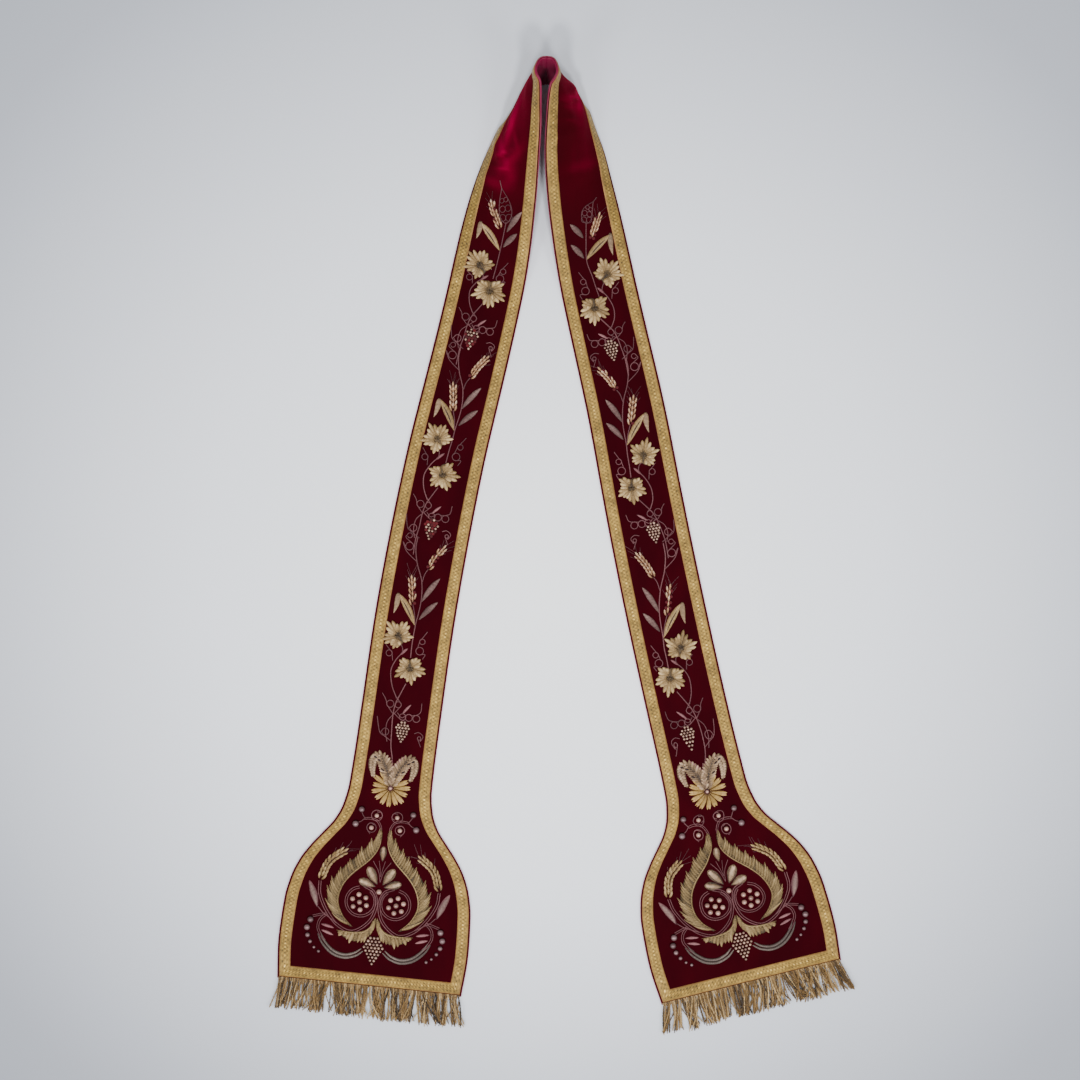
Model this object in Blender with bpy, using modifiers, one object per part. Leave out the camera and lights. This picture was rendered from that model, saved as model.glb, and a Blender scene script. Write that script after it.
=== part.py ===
"""A clerical stole, laid down flat with its neck standing on edge.

Two velvet legs meet in a seam at the centre back. Each leg is lined, edged all round with gold
braid, widened into a bell above its hem, fringed, and embroidered with raised gold motifs.
Metres, +Z up, +Y from the hems to the neck. The wearer's sides mirror each other: on each leg,
across runs from the inner edge (negative) to the outer edge (positive).
"""

import math
from collections import namedtuple

import bmesh
import bpy
import numpy as np

# Driving sizes
LEG_LENGTH = 1.050  # centre back to hem, along the middle of a leg
FRINGE_LENGTH = 0.039
FRINGE_SPLAY = 0.009  # how far the fringe spreads past each hem corner
EDGE_SHOWING = 0.0020  # velvet left showing outside the braid
BRAID_WIDTH = 0.0129
GAP = 0.0003  # between pieces that touch
LINING_WALL = 0.0010
VELVET_WALL = 0.0012
BRAID_WALL = 0.0010
MOTIF_WALL = 0.0010
BUNCH_WALL = 0.0020
FRINGE_WALL = 0.0024

VELVET_BASE = LINING_WALL + GAP
TRIM_BASE = VELVET_BASE + VELVET_WALL + GAP
MOTIF_BASE = TRIM_BASE + 2 * GAP  # clear of the flat facets under a wide motif
STACK = TRIM_BASE + BRAID_WALL
BRAID_INSET = (EDGE_SHOWING, EDGE_SHOWING + BRAID_WIDTH)

# The cut of a leg: half its width at a distance above the hem.
Cut = namedtuple("Cut", "above_hem half_width")
LEG_CUT = (
    Cut(0.000, 0.1035),
    Cut(0.045, 0.1068),
    Cut(0.090, 0.1048),
    Cut(0.115, 0.1000),
    Cut(0.135, 0.0922),
    Cut(0.152, 0.0815),
    Cut(0.168, 0.0690),
    Cut(0.182, 0.0585),
    Cut(0.200, 0.0507),
    Cut(0.225, 0.0466),
    Cut(0.290, 0.0454),
    Cut(0.450, 0.0450),
    Cut(0.780, 0.0425),
    Cut(1.050, 0.0395),
)

# How a leg lies, at a distance from the centre back. Degrees: the heading turns from straight
# down (-Y) to the leg's outer side, the tilt lifts the inner edge, and the bow rounds the width.
Lay = namedtuple("Lay", "along heading tilt bow")
LEFT_LAY = (
    Lay(0.000, 90.0, 98, 10),
    Lay(0.004, 80.0, 98, 10),
    Lay(0.012, 60.0, 93, 24),
    Lay(0.028, 18.0, 76, 34),
    Lay(0.050, 16.0, 65, 36),
    Lay(0.075, 15.0, 53, 36),
    Lay(0.105, 12.0, 42, 33),
    Lay(0.140, 10.0, 30, 24),
    Lay(0.175, 10.0, 20, 14),
    Lay(0.215, 11.0, 9, 6),
    Lay(0.260, 12.5, 0, 0),
    Lay(0.400, 14.0, 0, 0),
    Lay(0.470, 12.0, 0, 0),
    Lay(0.600, 10.0, 0, 0),
    Lay(0.700, 8.0, 0, 0),
    Lay(0.800, 8.0, 0, 0),
    Lay(0.850, 6.6, 0, 0),
    Lay(0.900, 6.0, 0, 0),
    Lay(1.050, 6.0, 0, 0),
)
RIGHT_LAY = (
    Lay(0.000, 90.0, 98, 10),
    Lay(0.004, 80.0, 98, 10),
    Lay(0.012, 62.0, 91, 24),
    Lay(0.028, 24.0, 68, 34),
    Lay(0.050, 14.0, 55, 36),
    Lay(0.075, 9.5, 45, 36),
    Lay(0.105, 7.5, 33, 30),
    Lay(0.140, 7.5, 24, 22),
    Lay(0.175, 8.5, 16, 12),
    Lay(0.215, 9.5, 8, 6),
    Lay(0.260, 11.0, 0, 0),
    Lay(0.340, 12.3, 0, 0),
    Lay(0.450, 10.5, 0, 0),
    Lay(0.560, 11.5, 0, 0),
    Lay(0.700, 12.6, 0, 0),
    Lay(0.780, 13.2, 0, 0),
    Lay(0.860, 12.8, 0, 0),
    Lay(0.950, 13.2, 0, 0),
    Lay(1.050, 14.0, 0, 0),
)

# Rows of facets along a leg: closer where it turns or widens.
Stretch = namedtuple("Stretch", "start end rows")
STRETCHES = (
    Stretch(GAP / 2, 0.030, 11),
    Stretch(0.030, 0.290, 15),
    Stretch(0.290, 0.825, 7),
    Stretch(0.825, 0.905, 9),
    Stretch(0.905, 1.050, 5),
)
FRINGE_COLUMNS = 4
PATH_STEP = 0.001

# Raised motifs. Places are across the leg and above the hem, on the left leg and on the right.
Round = namedtuple("Round", "name left right width height lobes depth wall")
ROUND_MOTIFS = (
    Round("leaf_1", (-0.0035, 0.357), (-0.0120, 0.350), 0.032, 0.034, 7, 0.16, MOTIF_WALL),
    Round("leaf_2", (0.0135, 0.396), (0.0080, 0.385), 0.032, 0.034, 7, 0.16, MOTIF_WALL),
    Round("leaf_3", (-0.0020, 0.577), (-0.0105, 0.566), 0.032, 0.034, 7, 0.16, MOTIF_WALL),
    Round("leaf_4", (0.0122, 0.619), (0.0105, 0.605), 0.032, 0.034, 7, 0.16, MOTIF_WALL),
    Round("leaf_5", (-0.0045, 0.789), (-0.0100, 0.772), 0.031, 0.034, 7, 0.16, MOTIF_WALL),
    Round("leaf_6", (0.0115, 0.821), (0.0115, 0.811), 0.030, 0.033, 7, 0.16, MOTIF_WALL),
    Round("bunch_1", (-0.0040, 0.287), (-0.0060, 0.283), 0.020, 0.030, 1, 0.0, BUNCH_WALL),
    Round("bunch_2", (0.0000, 0.516), (0.0050, 0.514), 0.020, 0.030, 1, 0.0, BUNCH_WALL),
    Round("bunch_3", (0.0040, 0.733), (-0.0010, 0.723), 0.020, 0.030, 1, 0.0, BUNCH_WALL),
    Round("bunch_low", (0.0000, 0.044), (0.0000, 0.045), 0.022, 0.030, 1, 0.0, BUNCH_WALL),
    Round("daisy", (0.0000, 0.224), (0.0005, 0.2195), 0.042, 0.042, 12, 0.14, MOTIF_WALL),
    Round("palmette", (0.0000, 0.128), (-0.0020, 0.127), 0.046, 0.040, 5, 0.24, MOTIF_WALL),
)
Blade = namedtuple("Blade", "name start bend end width right_raised")
BLADE_MOTIFS = (
    Blade("palm", (0.005, 0.249), (0.022, 0.272), (0.021, 0.236), 0.008, -0.0045),
    Blade("acanthus", (0.006, 0.167), (0.066, 0.128), (0.028, 0.067), 0.021, 0.0),
)
BLADE_STEPS = 9
ROUND_POINTS_A_LOBE = 3

Finish = namedtuple("Finish", "colour roughness metallic")
FINISHES = {
    "velvet": Finish((0.055, 0.004, 0.012), 0.75, 0.0),
    "lining": Finish((0.290, 0.050, 0.100), 0.55, 0.0),
    "braid": Finish((0.500, 0.340, 0.120), 0.40, 0.7),
    "fringe": Finish((0.450, 0.360, 0.210), 0.45, 0.6),
    "motif": Finish((0.430, 0.310, 0.170), 0.40, 0.7),
}


def smooth(rows, column):
    """A function through one column of a table, with no overshoot between its rows."""
    x = np.array([row[0] for row in rows], float)
    y = np.array([getattr(row, column) for row in rows], float)
    step = np.diff(x)
    slope = np.diff(y) / step
    tangent = np.zeros(len(x))
    tangent[0], tangent[-1] = slope[0], slope[-1]
    for i in range(1, len(x) - 1):
        if slope[i - 1] * slope[i] > 0:
            before = 2 * step[i] + step[i - 1]
            after = step[i] + 2 * step[i - 1]
            tangent[i] = (before + after) / (before / slope[i - 1] + after / slope[i])

    def value(at):
        at = np.clip(at, x[0], x[-1])
        i = np.clip(np.searchsorted(x, at) - 1, 0, len(x) - 2)
        u = (at - x[i]) / step[i]
        rise = u * u * (3 - 2 * u)
        bend = u * (1 - u) ** 2 * tangent[i] - u * u * (1 - u) * tangent[i + 1]
        return y[i] * (1 - rise) + y[i + 1] * rise + step[i] * bend

    return value


HALF_WIDTH_ABOVE_HEM = smooth(LEG_CUT, "half_width")


def half_width(along):
    return HALF_WIDTH_ABOVE_HEM(LEG_LENGTH - np.asarray(along, float))


class Leg:
    """One leg as it lies, from the foot of the centre-back seam. side is -1 left or 1 right."""

    def __init__(self, name, side, lay):
        self.name = name
        self.side = side
        self.heading = smooth(lay, "heading")
        self.tilt = smooth(lay, "tilt")
        self.bow = smooth(lay, "bow")
        self.path_along = np.arange(0, LEG_LENGTH + FRINGE_LENGTH + PATH_STEP, PATH_STEP)
        middle_height = self.rise_of_middle(self.path_along)
        climb = np.gradient(middle_height, self.path_along)
        plan = np.sqrt(np.maximum(0, 1 - climb**2))
        heading = np.radians(self.heading(self.path_along))
        self.path_x = self.running_sum(side * np.sin(heading) * plan)
        self.path_y = self.running_sum(-np.cos(heading) * plan)
        self.path_z = middle_height

    @staticmethod
    def running_sum(rate):
        steps = (rate[1:] + rate[:-1]) / 2 * PATH_STEP
        return np.concatenate([[0], np.cumsum(steps)])

    def section(self, along):
        """Tilt at the middle in radians, and how fast it steepens towards the outer edge."""
        bow = np.radians(np.maximum(self.bow(along), 0.001))
        return np.radians(self.tilt(along)), bow / (2 * half_width(along))

    def rise_of_middle(self, along):
        """Height of the middle when the outer edge rests, with room for layers that lean out."""
        tilt, rate = self.section(along)
        steepest = tilt + rate * half_width(along)
        leaning = STACK * np.maximum(0, -np.cos(steepest))
        return (np.cos(tilt) - np.cos(steepest)) / rate + leaning

    def surface(self, across, along):
        """Places on the underside of the cloth, as an array of rows x, y, z."""
        tilt, rate = self.section(along)
        slant = tilt + rate * across
        heading = np.radians(self.heading(along))
        out = (np.sin(slant) - np.sin(tilt)) / rate
        down = (np.cos(tilt) - np.cos(slant)) / rate
        x = np.interp(along, self.path_along, self.path_x) + self.side * np.cos(heading) * out
        y = np.interp(along, self.path_along, self.path_y) + np.sin(heading) * out
        z = np.interp(along, self.path_along, self.path_z) - down
        return np.stack([x, y, z], -1)

    def points(self, across, along, height):
        """Places at a height above the underside, measured square to the cloth."""
        across, along = np.broadcast_arrays(np.asarray(across, float), np.asarray(along, float))
        near = PATH_STEP / 2
        crosswise = self.surface(across + near, along) - self.surface(across - near, along)
        forward = self.surface(across, along + near) - self.surface(across, np.maximum(along - near, 0))
        normal = self.side * np.cross(forward, crosswise)
        normal /= np.linalg.norm(normal, axis=-1, keepdims=True)
        return self.surface(across, along) + normal * height


def section_rows():
    """Distances from the centre back of every row of facets, the hem last."""
    rows = [STRETCHES[0].start]
    for stretch in STRETCHES:
        rows.extend(np.linspace(stretch.start, stretch.end, stretch.rows + 1)[1:])
    return np.array(rows)


def material(name):
    """A new material with the finish of that name, for one object."""
    finish = FINISHES[name]
    made = bpy.data.materials.new(name)
    made.use_nodes = True
    shader = made.node_tree.nodes["Principled BSDF"]
    shader.inputs["Base Color"].default_value = (*finish.colour, 1)
    shader.inputs["Roughness"].default_value = finish.roughness
    shader.inputs["Metallic"].default_value = finish.metallic
    return made


def make_object(name, mesh_maker, wall, finish, collection):
    """An object from an open sheet, with its wall grown outwards from the sheet."""
    sheet = bmesh.new()
    mesh_maker(sheet)
    mesh = bpy.data.meshes.new(name)
    sheet.to_mesh(mesh)
    sheet.free()
    mesh.materials.append(material(finish))
    made = bpy.data.objects.new(name, mesh)
    collection.objects.link(made)
    solidify = made.modifiers.new("wall", "SOLIDIFY")
    solidify.thickness = wall
    solidify.offset = 1.0
    return made


def add_grid(sheet, points, side):
    """Quads between rows of points, facing up on either leg."""
    corners = [[sheet.verts.new(place) for place in row] for row in points]
    for upper, lower in zip(corners, corners[1:]):
        for i in range(len(upper) - 1):
            face = [upper[i], lower[i], lower[i + 1], upper[i + 1]]
            sheet.faces.new(face if side > 0 else face[::-1])


def add_outline(sheet, points, side):
    """One face inside a closed outline that runs anticlockwise on the right leg."""
    corners = [sheet.verts.new(place) for place in points]
    sheet.faces.new(corners if side > 0 else corners[::-1])


def make_panel(leg, kind, base, wall, collection):
    """The full width and length of a leg, as one layer."""
    rows = section_rows()
    inset = np.array([[0.0, BRAID_INSET[1]]])
    outer = half_width(rows)[:, None] - inset
    across = np.hstack([-outer, np.zeros((len(rows), 1)), outer[:, ::-1]])

    def sheet_of(sheet):
        add_grid(sheet, leg.points(across, rows[:, None], base), leg.side)

    return make_object(f"{kind}_{leg.name}", sheet_of, wall, kind, collection)


def make_edge_braid(leg, edge, edge_sign, collection):
    """Braid down one edge, from the centre back to its mitre at the hem corner."""
    insets = np.array(BRAID_INSET if edge_sign < 0 else BRAID_INSET[::-1])
    rows = section_rows()
    rows = rows[rows < LEG_LENGTH - BRAID_INSET[1] - GAP]
    along = np.vstack([np.repeat(rows[:, None], 2, axis=1), LEG_LENGTH - insets - GAP])
    across = edge_sign * (half_width(along) - insets)

    def sheet_of(sheet):
        add_grid(sheet, leg.points(across, along, TRIM_BASE), leg.side)

    return make_object(f"braid_{edge}_{leg.name}", sheet_of, BRAID_WALL, "braid", collection)


def make_hem_braid(leg, collection):
    """Braid along the hem, mitred into both edge braids."""
    insets = np.array(BRAID_INSET[::-1])[:, None]
    along = LEG_LENGTH - insets
    reach = half_width(along) - insets - GAP
    across = reach * np.linspace(-1, 1, 3)[None, :]

    def sheet_of(sheet):
        add_grid(sheet, leg.points(across, along, TRIM_BASE), leg.side)

    return make_object(f"braid_hem_{leg.name}", sheet_of, BRAID_WALL, "braid", collection)


def make_fringe(leg, collection):
    """The reach of the fringe, on the surface below the hem."""
    along = LEG_LENGTH + np.array([GAP, FRINGE_LENGTH])[:, None]
    reach = half_width(LEG_LENGTH) + np.array([0, FRINGE_SPLAY])[:, None]
    across = reach * np.linspace(-1, 1, FRINGE_COLUMNS + 1)[None, :]

    def sheet_of(sheet):
        add_grid(sheet, leg.points(across, along, 0.0), leg.side)

    return make_object(f"fringe_{leg.name}", sheet_of, FRINGE_WALL, "fringe", collection)


def make_round_motif(leg, motif, collection):
    """A lobed outline round its centre: a leaf, a flower or a bunch of fruit."""
    count = ROUND_POINTS_A_LOBE * max(motif.lobes, 4)
    angle = np.arange(count) * 2 * math.pi / count
    radius = 1 - motif.depth / 2 + motif.depth / 2 * np.cos(motif.lobes * angle)
    across, above = motif.left if leg.name == "left" else motif.right
    across = across + motif.width / 2 * radius * np.sin(angle)
    above = above - motif.height / 2 * radius * np.cos(angle)

    def sheet_of(sheet):
        add_outline(sheet, leg.points(across, LEG_LENGTH - above, MOTIF_BASE), leg.side)

    return make_object(f"{motif.name}_{leg.name}", sheet_of, motif.wall, "motif", collection)


def make_blade_motif(leg, motif, mirror, place, collection):
    """A curved leaf that tapers to both ends, along one bend. mirror is its side of the leg."""
    start, bend, end = (np.array(corner) for corner in (motif.start, motif.bend, motif.end))
    share = np.linspace(0, 1, BLADE_STEPS)[:, None]
    middle = (1 - share) ** 2 * start + 2 * share * (1 - share) * bend + share**2 * end
    run = 2 * (1 - share) * (bend - start) + 2 * share * (end - bend)
    aside = np.stack([run[:, 1], -run[:, 0]], -1) / np.linalg.norm(run, axis=1, keepdims=True)
    spread = motif.width / 2 * (0.2 + 0.8 * np.sin(math.pi * share))
    edges = np.stack([middle - aside * spread, middle + aside * spread], 1)
    across = mirror * edges[..., 0]
    above = edges[..., 1] + (motif.right_raised if leg.name == "right" else 0)

    def sheet_of(sheet):
        points = leg.points(across, LEG_LENGTH - above, MOTIF_BASE)
        add_grid(sheet, points, -leg.side * mirror)

    name = f"{motif.name}_{place}_{leg.name}"
    return make_object(name, sheet_of, MOTIF_WALL, "motif", collection)


def make_leg(leg, collection):
    """Every piece of one leg."""
    yield make_panel(leg, "lining", 0.0, LINING_WALL, collection)
    yield make_panel(leg, "velvet", VELVET_BASE, VELVET_WALL, collection)
    yield make_edge_braid(leg, "outer", 1, collection)
    yield make_edge_braid(leg, "inner", -1, collection)
    yield make_hem_braid(leg, collection)
    yield make_fringe(leg, collection)
    for motif in ROUND_MOTIFS:
        yield make_round_motif(leg, motif, collection)
    for motif in BLADE_MOTIFS:
        yield make_blade_motif(leg, motif, -1, "inner", collection)
        yield make_blade_motif(leg, motif, 1, "outer", collection)


def centre_on_origin(objects):
    """Moves every piece so that the origin is under the middle of the whole stole."""
    bpy.context.view_layer.update()
    graph = bpy.context.evaluated_depsgraph_get()
    corners = []
    for piece in objects:
        mesh = piece.evaluated_get(graph).to_mesh()
        corners.extend(tuple(vertex.co) for vertex in mesh.vertices)
    corners = np.array(corners)
    middle = (corners.min(axis=0) + corners.max(axis=0)) / 2
    for piece in objects:
        piece.location = (-middle[0], -middle[1], 0)


def main():
    for existing in list(bpy.data.objects):
        bpy.data.objects.remove(existing, do_unlink=True)
    collection = bpy.data.collections.new("clerical_stole")
    bpy.context.scene.collection.children.link(collection)
    legs = (Leg("left", -1, LEFT_LAY), Leg("right", 1, RIGHT_LAY))
    pieces = [piece for leg in legs for piece in make_leg(leg, collection)]
    centre_on_origin(pieces)


main()
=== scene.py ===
import math
import random
from collections import namedtuple

import bpy
import numpy as np
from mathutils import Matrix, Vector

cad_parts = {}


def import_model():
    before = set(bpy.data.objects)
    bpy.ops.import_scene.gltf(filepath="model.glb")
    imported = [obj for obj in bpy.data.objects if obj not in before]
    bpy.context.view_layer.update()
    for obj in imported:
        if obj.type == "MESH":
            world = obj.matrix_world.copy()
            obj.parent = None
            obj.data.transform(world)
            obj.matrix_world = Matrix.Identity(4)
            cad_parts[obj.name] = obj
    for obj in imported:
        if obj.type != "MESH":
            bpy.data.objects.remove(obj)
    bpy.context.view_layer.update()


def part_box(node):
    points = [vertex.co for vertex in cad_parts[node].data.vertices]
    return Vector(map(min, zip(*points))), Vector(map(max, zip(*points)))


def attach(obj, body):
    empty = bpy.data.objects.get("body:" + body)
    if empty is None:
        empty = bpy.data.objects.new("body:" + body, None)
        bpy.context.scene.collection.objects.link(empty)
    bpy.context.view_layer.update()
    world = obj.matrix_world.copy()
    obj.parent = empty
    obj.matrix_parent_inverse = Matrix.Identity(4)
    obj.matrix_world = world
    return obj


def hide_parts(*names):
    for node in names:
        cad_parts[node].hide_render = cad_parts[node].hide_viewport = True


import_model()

# ---------------------------------------------------------------- sizes of the stole, in metres
MM = 0.001
LEG_LENGTH = 1.050
FRINGE_LENGTH = 0.039
FRINGE_SPLAY = 0.009
SEAM = 0.00001  # half the gap at the centre back
LINING_TOP = 0.0010
VELVET_BASE = 0.0013
VELVET_TOP = 0.0025
BRAID_INSET = (0.0020, 0.0149)
BRAID_WALL = 0.0011
STACK = 0.0038
FOLDED = 0.0182  # width of the outer edge that is folded down near the neck
BRAID_MIDDLE = (BRAID_INSET[0] + BRAID_INSET[1]) / 2
BRAID_HALF = (BRAID_INSET[1] - BRAID_INSET[0]) / 2
GALLOON_PITCH = 0.0041
HEM_GAP = 0.0003  # between the hem and the fringe
FRINGE_CORDS = 262
BRAID_COLUMNS = 12
CORD_SIDES = 5
BEAD_RINGS = 2
SATIN_SIDES = 8

Cut = namedtuple("Cut", "above_hem half_width")
LEG_CUT = (
    Cut(0.000, 0.1035),
    Cut(0.045, 0.1068),
    Cut(0.090, 0.1048),
    Cut(0.115, 0.1000),
    Cut(0.135, 0.0922),
    Cut(0.152, 0.0815),
    Cut(0.168, 0.0690),
    Cut(0.182, 0.0585),
    Cut(0.200, 0.0507),
    Cut(0.225, 0.0466),
    Cut(0.290, 0.0454),
    Cut(0.450, 0.0450),
    Cut(0.780, 0.0425),
    Cut(1.050, 0.0395),
)

# How a leg lies, by distance from the centre back: heading, tilt and bow in degrees.
Lay = namedtuple("Lay", "along heading tilt bow")
LEFT_LAY = (
    Lay(0.000, 90.0, 98, 10),
    Lay(0.004, 80.0, 98, 10),
    Lay(0.012, 60.0, 93, 24),
    Lay(0.028, 18.0, 76, 34),
    Lay(0.050, 16.0, 65, 36),
    Lay(0.075, 15.0, 53, 36),
    Lay(0.105, 12.0, 42, 33),
    Lay(0.140, 10.0, 30, 24),
    Lay(0.175, 10.0, 20, 14),
    Lay(0.215, 11.0, 9, 6),
    Lay(0.260, 12.5, 0, 0),
    Lay(0.400, 14.0, 0, 0),
    Lay(0.470, 12.0, 0, 0),
    Lay(0.600, 10.0, 0, 0),
    Lay(0.700, 8.0, 0, 0),
    Lay(0.800, 8.0, 0, 0),
    Lay(0.850, 6.6, 0, 0),
    Lay(0.900, 6.0, 0, 0),
    Lay(1.050, 6.0, 0, 0),
)
RIGHT_LAY = (
    Lay(0.000, 90.0, 98, 10),
    Lay(0.004, 80.0, 98, 10),
    Lay(0.012, 62.0, 91, 24),
    Lay(0.028, 22.0, 68, 34),
    Lay(0.050, 10.0, 55, 36),
    Lay(0.075, 6.5, 45, 36),
    Lay(0.105, 6.5, 33, 30),
    Lay(0.140, 8.0, 24, 22),
    Lay(0.175, 10.0, 16, 12),
    Lay(0.215, 11.0, 8, 6),
    Lay(0.260, 12.4, 0, 0),
    Lay(0.340, 13.0, 0, 0),
    Lay(0.450, 10.5, 0, 0),
    Lay(0.560, 11.5, 0, 0),
    Lay(0.700, 12.6, 0, 0),
    Lay(0.780, 13.2, 0, 0),
    Lay(0.860, 12.8, 0, 0),
    Lay(0.950, 13.2, 0, 0),
    Lay(1.050, 14.0, 0, 0),
)

# How far the outer edge is folded down past the cloth beside it, near the neck.
Under = namedtuple("Under", "along degrees")
LEFT_UNDER = (
    Under(0.000, 0),
    Under(0.010, 0),
    Under(0.020, 26),
    Under(0.044, 34),
    Under(0.056, 30),
    Under(0.080, 0),
    Under(1.050, 0),
)
RIGHT_UNDER = (
    Under(0.000, 0),
    Under(0.010, 0),
    Under(0.020, 28),
    Under(0.040, 30),
    Under(0.058, 0),
    Under(1.050, 0),
)

# Soft ridges in the cloth near the neck, in millimetres and degrees from the leg's length.
Crease = namedtuple("Crease", "along across length width turn height")
LEFT_CREASES = (
    Crease(70, 8, 30, 6, 2, 3.0),
    Crease(106, 16, 20, 5, -42, 2.6),
    Crease(112, -4, 20, 5, 34, 2.4),
    Crease(136, 6, 22, 6, -78, 2.0),
    Crease(152, -16, 24, 7, 16, 1.6),
    Crease(42, -12, 18, 6, -20, 1.6),
    Crease(186, 12, 36, 9, -8, 1.0),
    Crease(106, 7, 14, 3, 69, 1.2),
    Crease(123, 6, 15, 3, 84, 1.0),
    Crease(90, -7, 12, 3.5, -32, 1.2),
)
RIGHT_CREASES = (
    Crease(36, 6, 16, 5, -66, 3.0),
    Crease(52, -10, 22, 6, 22, 2.0),
    Crease(70, 12, 28, 7, -16, 2.0),
    Crease(84, -14, 18, 5, -74, 1.6),
    Crease(126, 6, 30, 8, -66, 1.6),
    Crease(168, -10, 40, 9, 6, 0.9),
    Crease(47, 0, 20, 3, -84, 1.4),
    Crease(70, -5, 14, 3, 86, 1.0),
)

# Painted highlights and painted shade on the velvet near the neck: soft patches where the cloth is painted
# lighter crimson, as if lit, and a few painted darker beside creases.
PaintedSheen = namedtuple("PaintedSheen", "along across length width turn light")
LEFT_PAINTED_SHEEN = (
    PaintedSheen(55, 2, 50, 34, 0, 0.34),
    PaintedSheen(74, 5, 28, 5, 3, 0.40),
    PaintedSheen(100, 14, 22, 5, -40, 0.32),
    PaintedSheen(110, -8, 18, 6, 38, 0.28),
    PaintedSheen(128, -2, 34, 30, 0, 0.22),
    PaintedSheen(138, 16, 6, 16, 14, 0.20),
    PaintedSheen(14, 0, 16, 34, 0, 0.20),
    PaintedSheen(185, 0, 40, 34, 0, 0.07),
    PaintedSheen(106, 7, 14, 2.2, 69, 0.22),
    PaintedSheen(110, 8, 13, 2.5, 69, -0.12),
    PaintedSheen(123, 6, 15, 2.2, 84, 0.18),
    PaintedSheen(90, -7, 12, 2.5, -32, 0.22),
    PaintedSheen(131, -8, 9, 7, 0, 0.20),
)
RIGHT_PAINTED_SHEEN = (
    PaintedSheen(30, 8, 30, 28, 0, 0.32),
    PaintedSheen(46, 14, 24, 6, -14, 0.30),
    PaintedSheen(50, -6, 8, 16, -20, 0.24),
    PaintedSheen(92, 0, 50, 34, 0, 0.15),
    PaintedSheen(118, 4, 6, 26, 12, 0.16),
    PaintedSheen(170, 0, 60, 34, 0, 0.06),
    PaintedSheen(44, 0, 20, 2.4, -84, 0.16),
    PaintedSheen(49, 0, 20, 2.6, -84, -0.16),
    PaintedSheen(70, -5, 14, 1.8, 86, 0.14),
)


def smooth(rows, column):
    """A function through one column of a table, with no overshoot between its rows."""
    x = np.array([row[0] for row in rows], float)
    y = np.array([getattr(row, column) for row in rows], float)
    step = np.diff(x)
    slope = np.diff(y) / step
    tangent = np.zeros(len(x))
    tangent[0], tangent[-1] = slope[0], slope[-1]
    for i in range(1, len(x) - 1):
        if slope[i - 1] * slope[i] > 0:
            before = 2 * step[i] + step[i - 1]
            after = step[i] + 2 * step[i - 1]
            tangent[i] = (before + after) / (before / slope[i - 1] + after / slope[i])

    def value(at):
        at = np.clip(at, x[0], x[-1])
        i = np.clip(np.searchsorted(x, at) - 1, 0, len(x) - 2)
        u = (at - x[i]) / step[i]
        rise = u * u * (3 - 2 * u)
        bend = u * (1 - u) ** 2 * tangent[i] - u * u * (1 - u) * tangent[i + 1]
        return y[i] * (1 - rise) + y[i + 1] * rise + step[i] * bend

    return value


HALF_WIDTH = smooth(LEG_CUT, "half_width")


def half_width(along):
    return HALF_WIDTH(LEG_LENGTH - np.asarray(along, float))


def patches(table, across, along):
    """The sum of the soft patches of a table, each fading from its middle."""
    total = np.zeros(np.broadcast(across, along).shape)
    for patch in table:
        turn = math.radians(patch.turn)
        right = across / MM - patch.across
        down = along / MM - patch.along
        lengthwise = down * math.cos(turn) + right * math.sin(turn)
        sidewise = right * math.cos(turn) - down * math.sin(turn)
        reach = (lengthwise / patch.length) ** 2 + (sidewise / patch.width) ** 2
        total = total + patch[-1] * np.exp(-reach)
    return total


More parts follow.
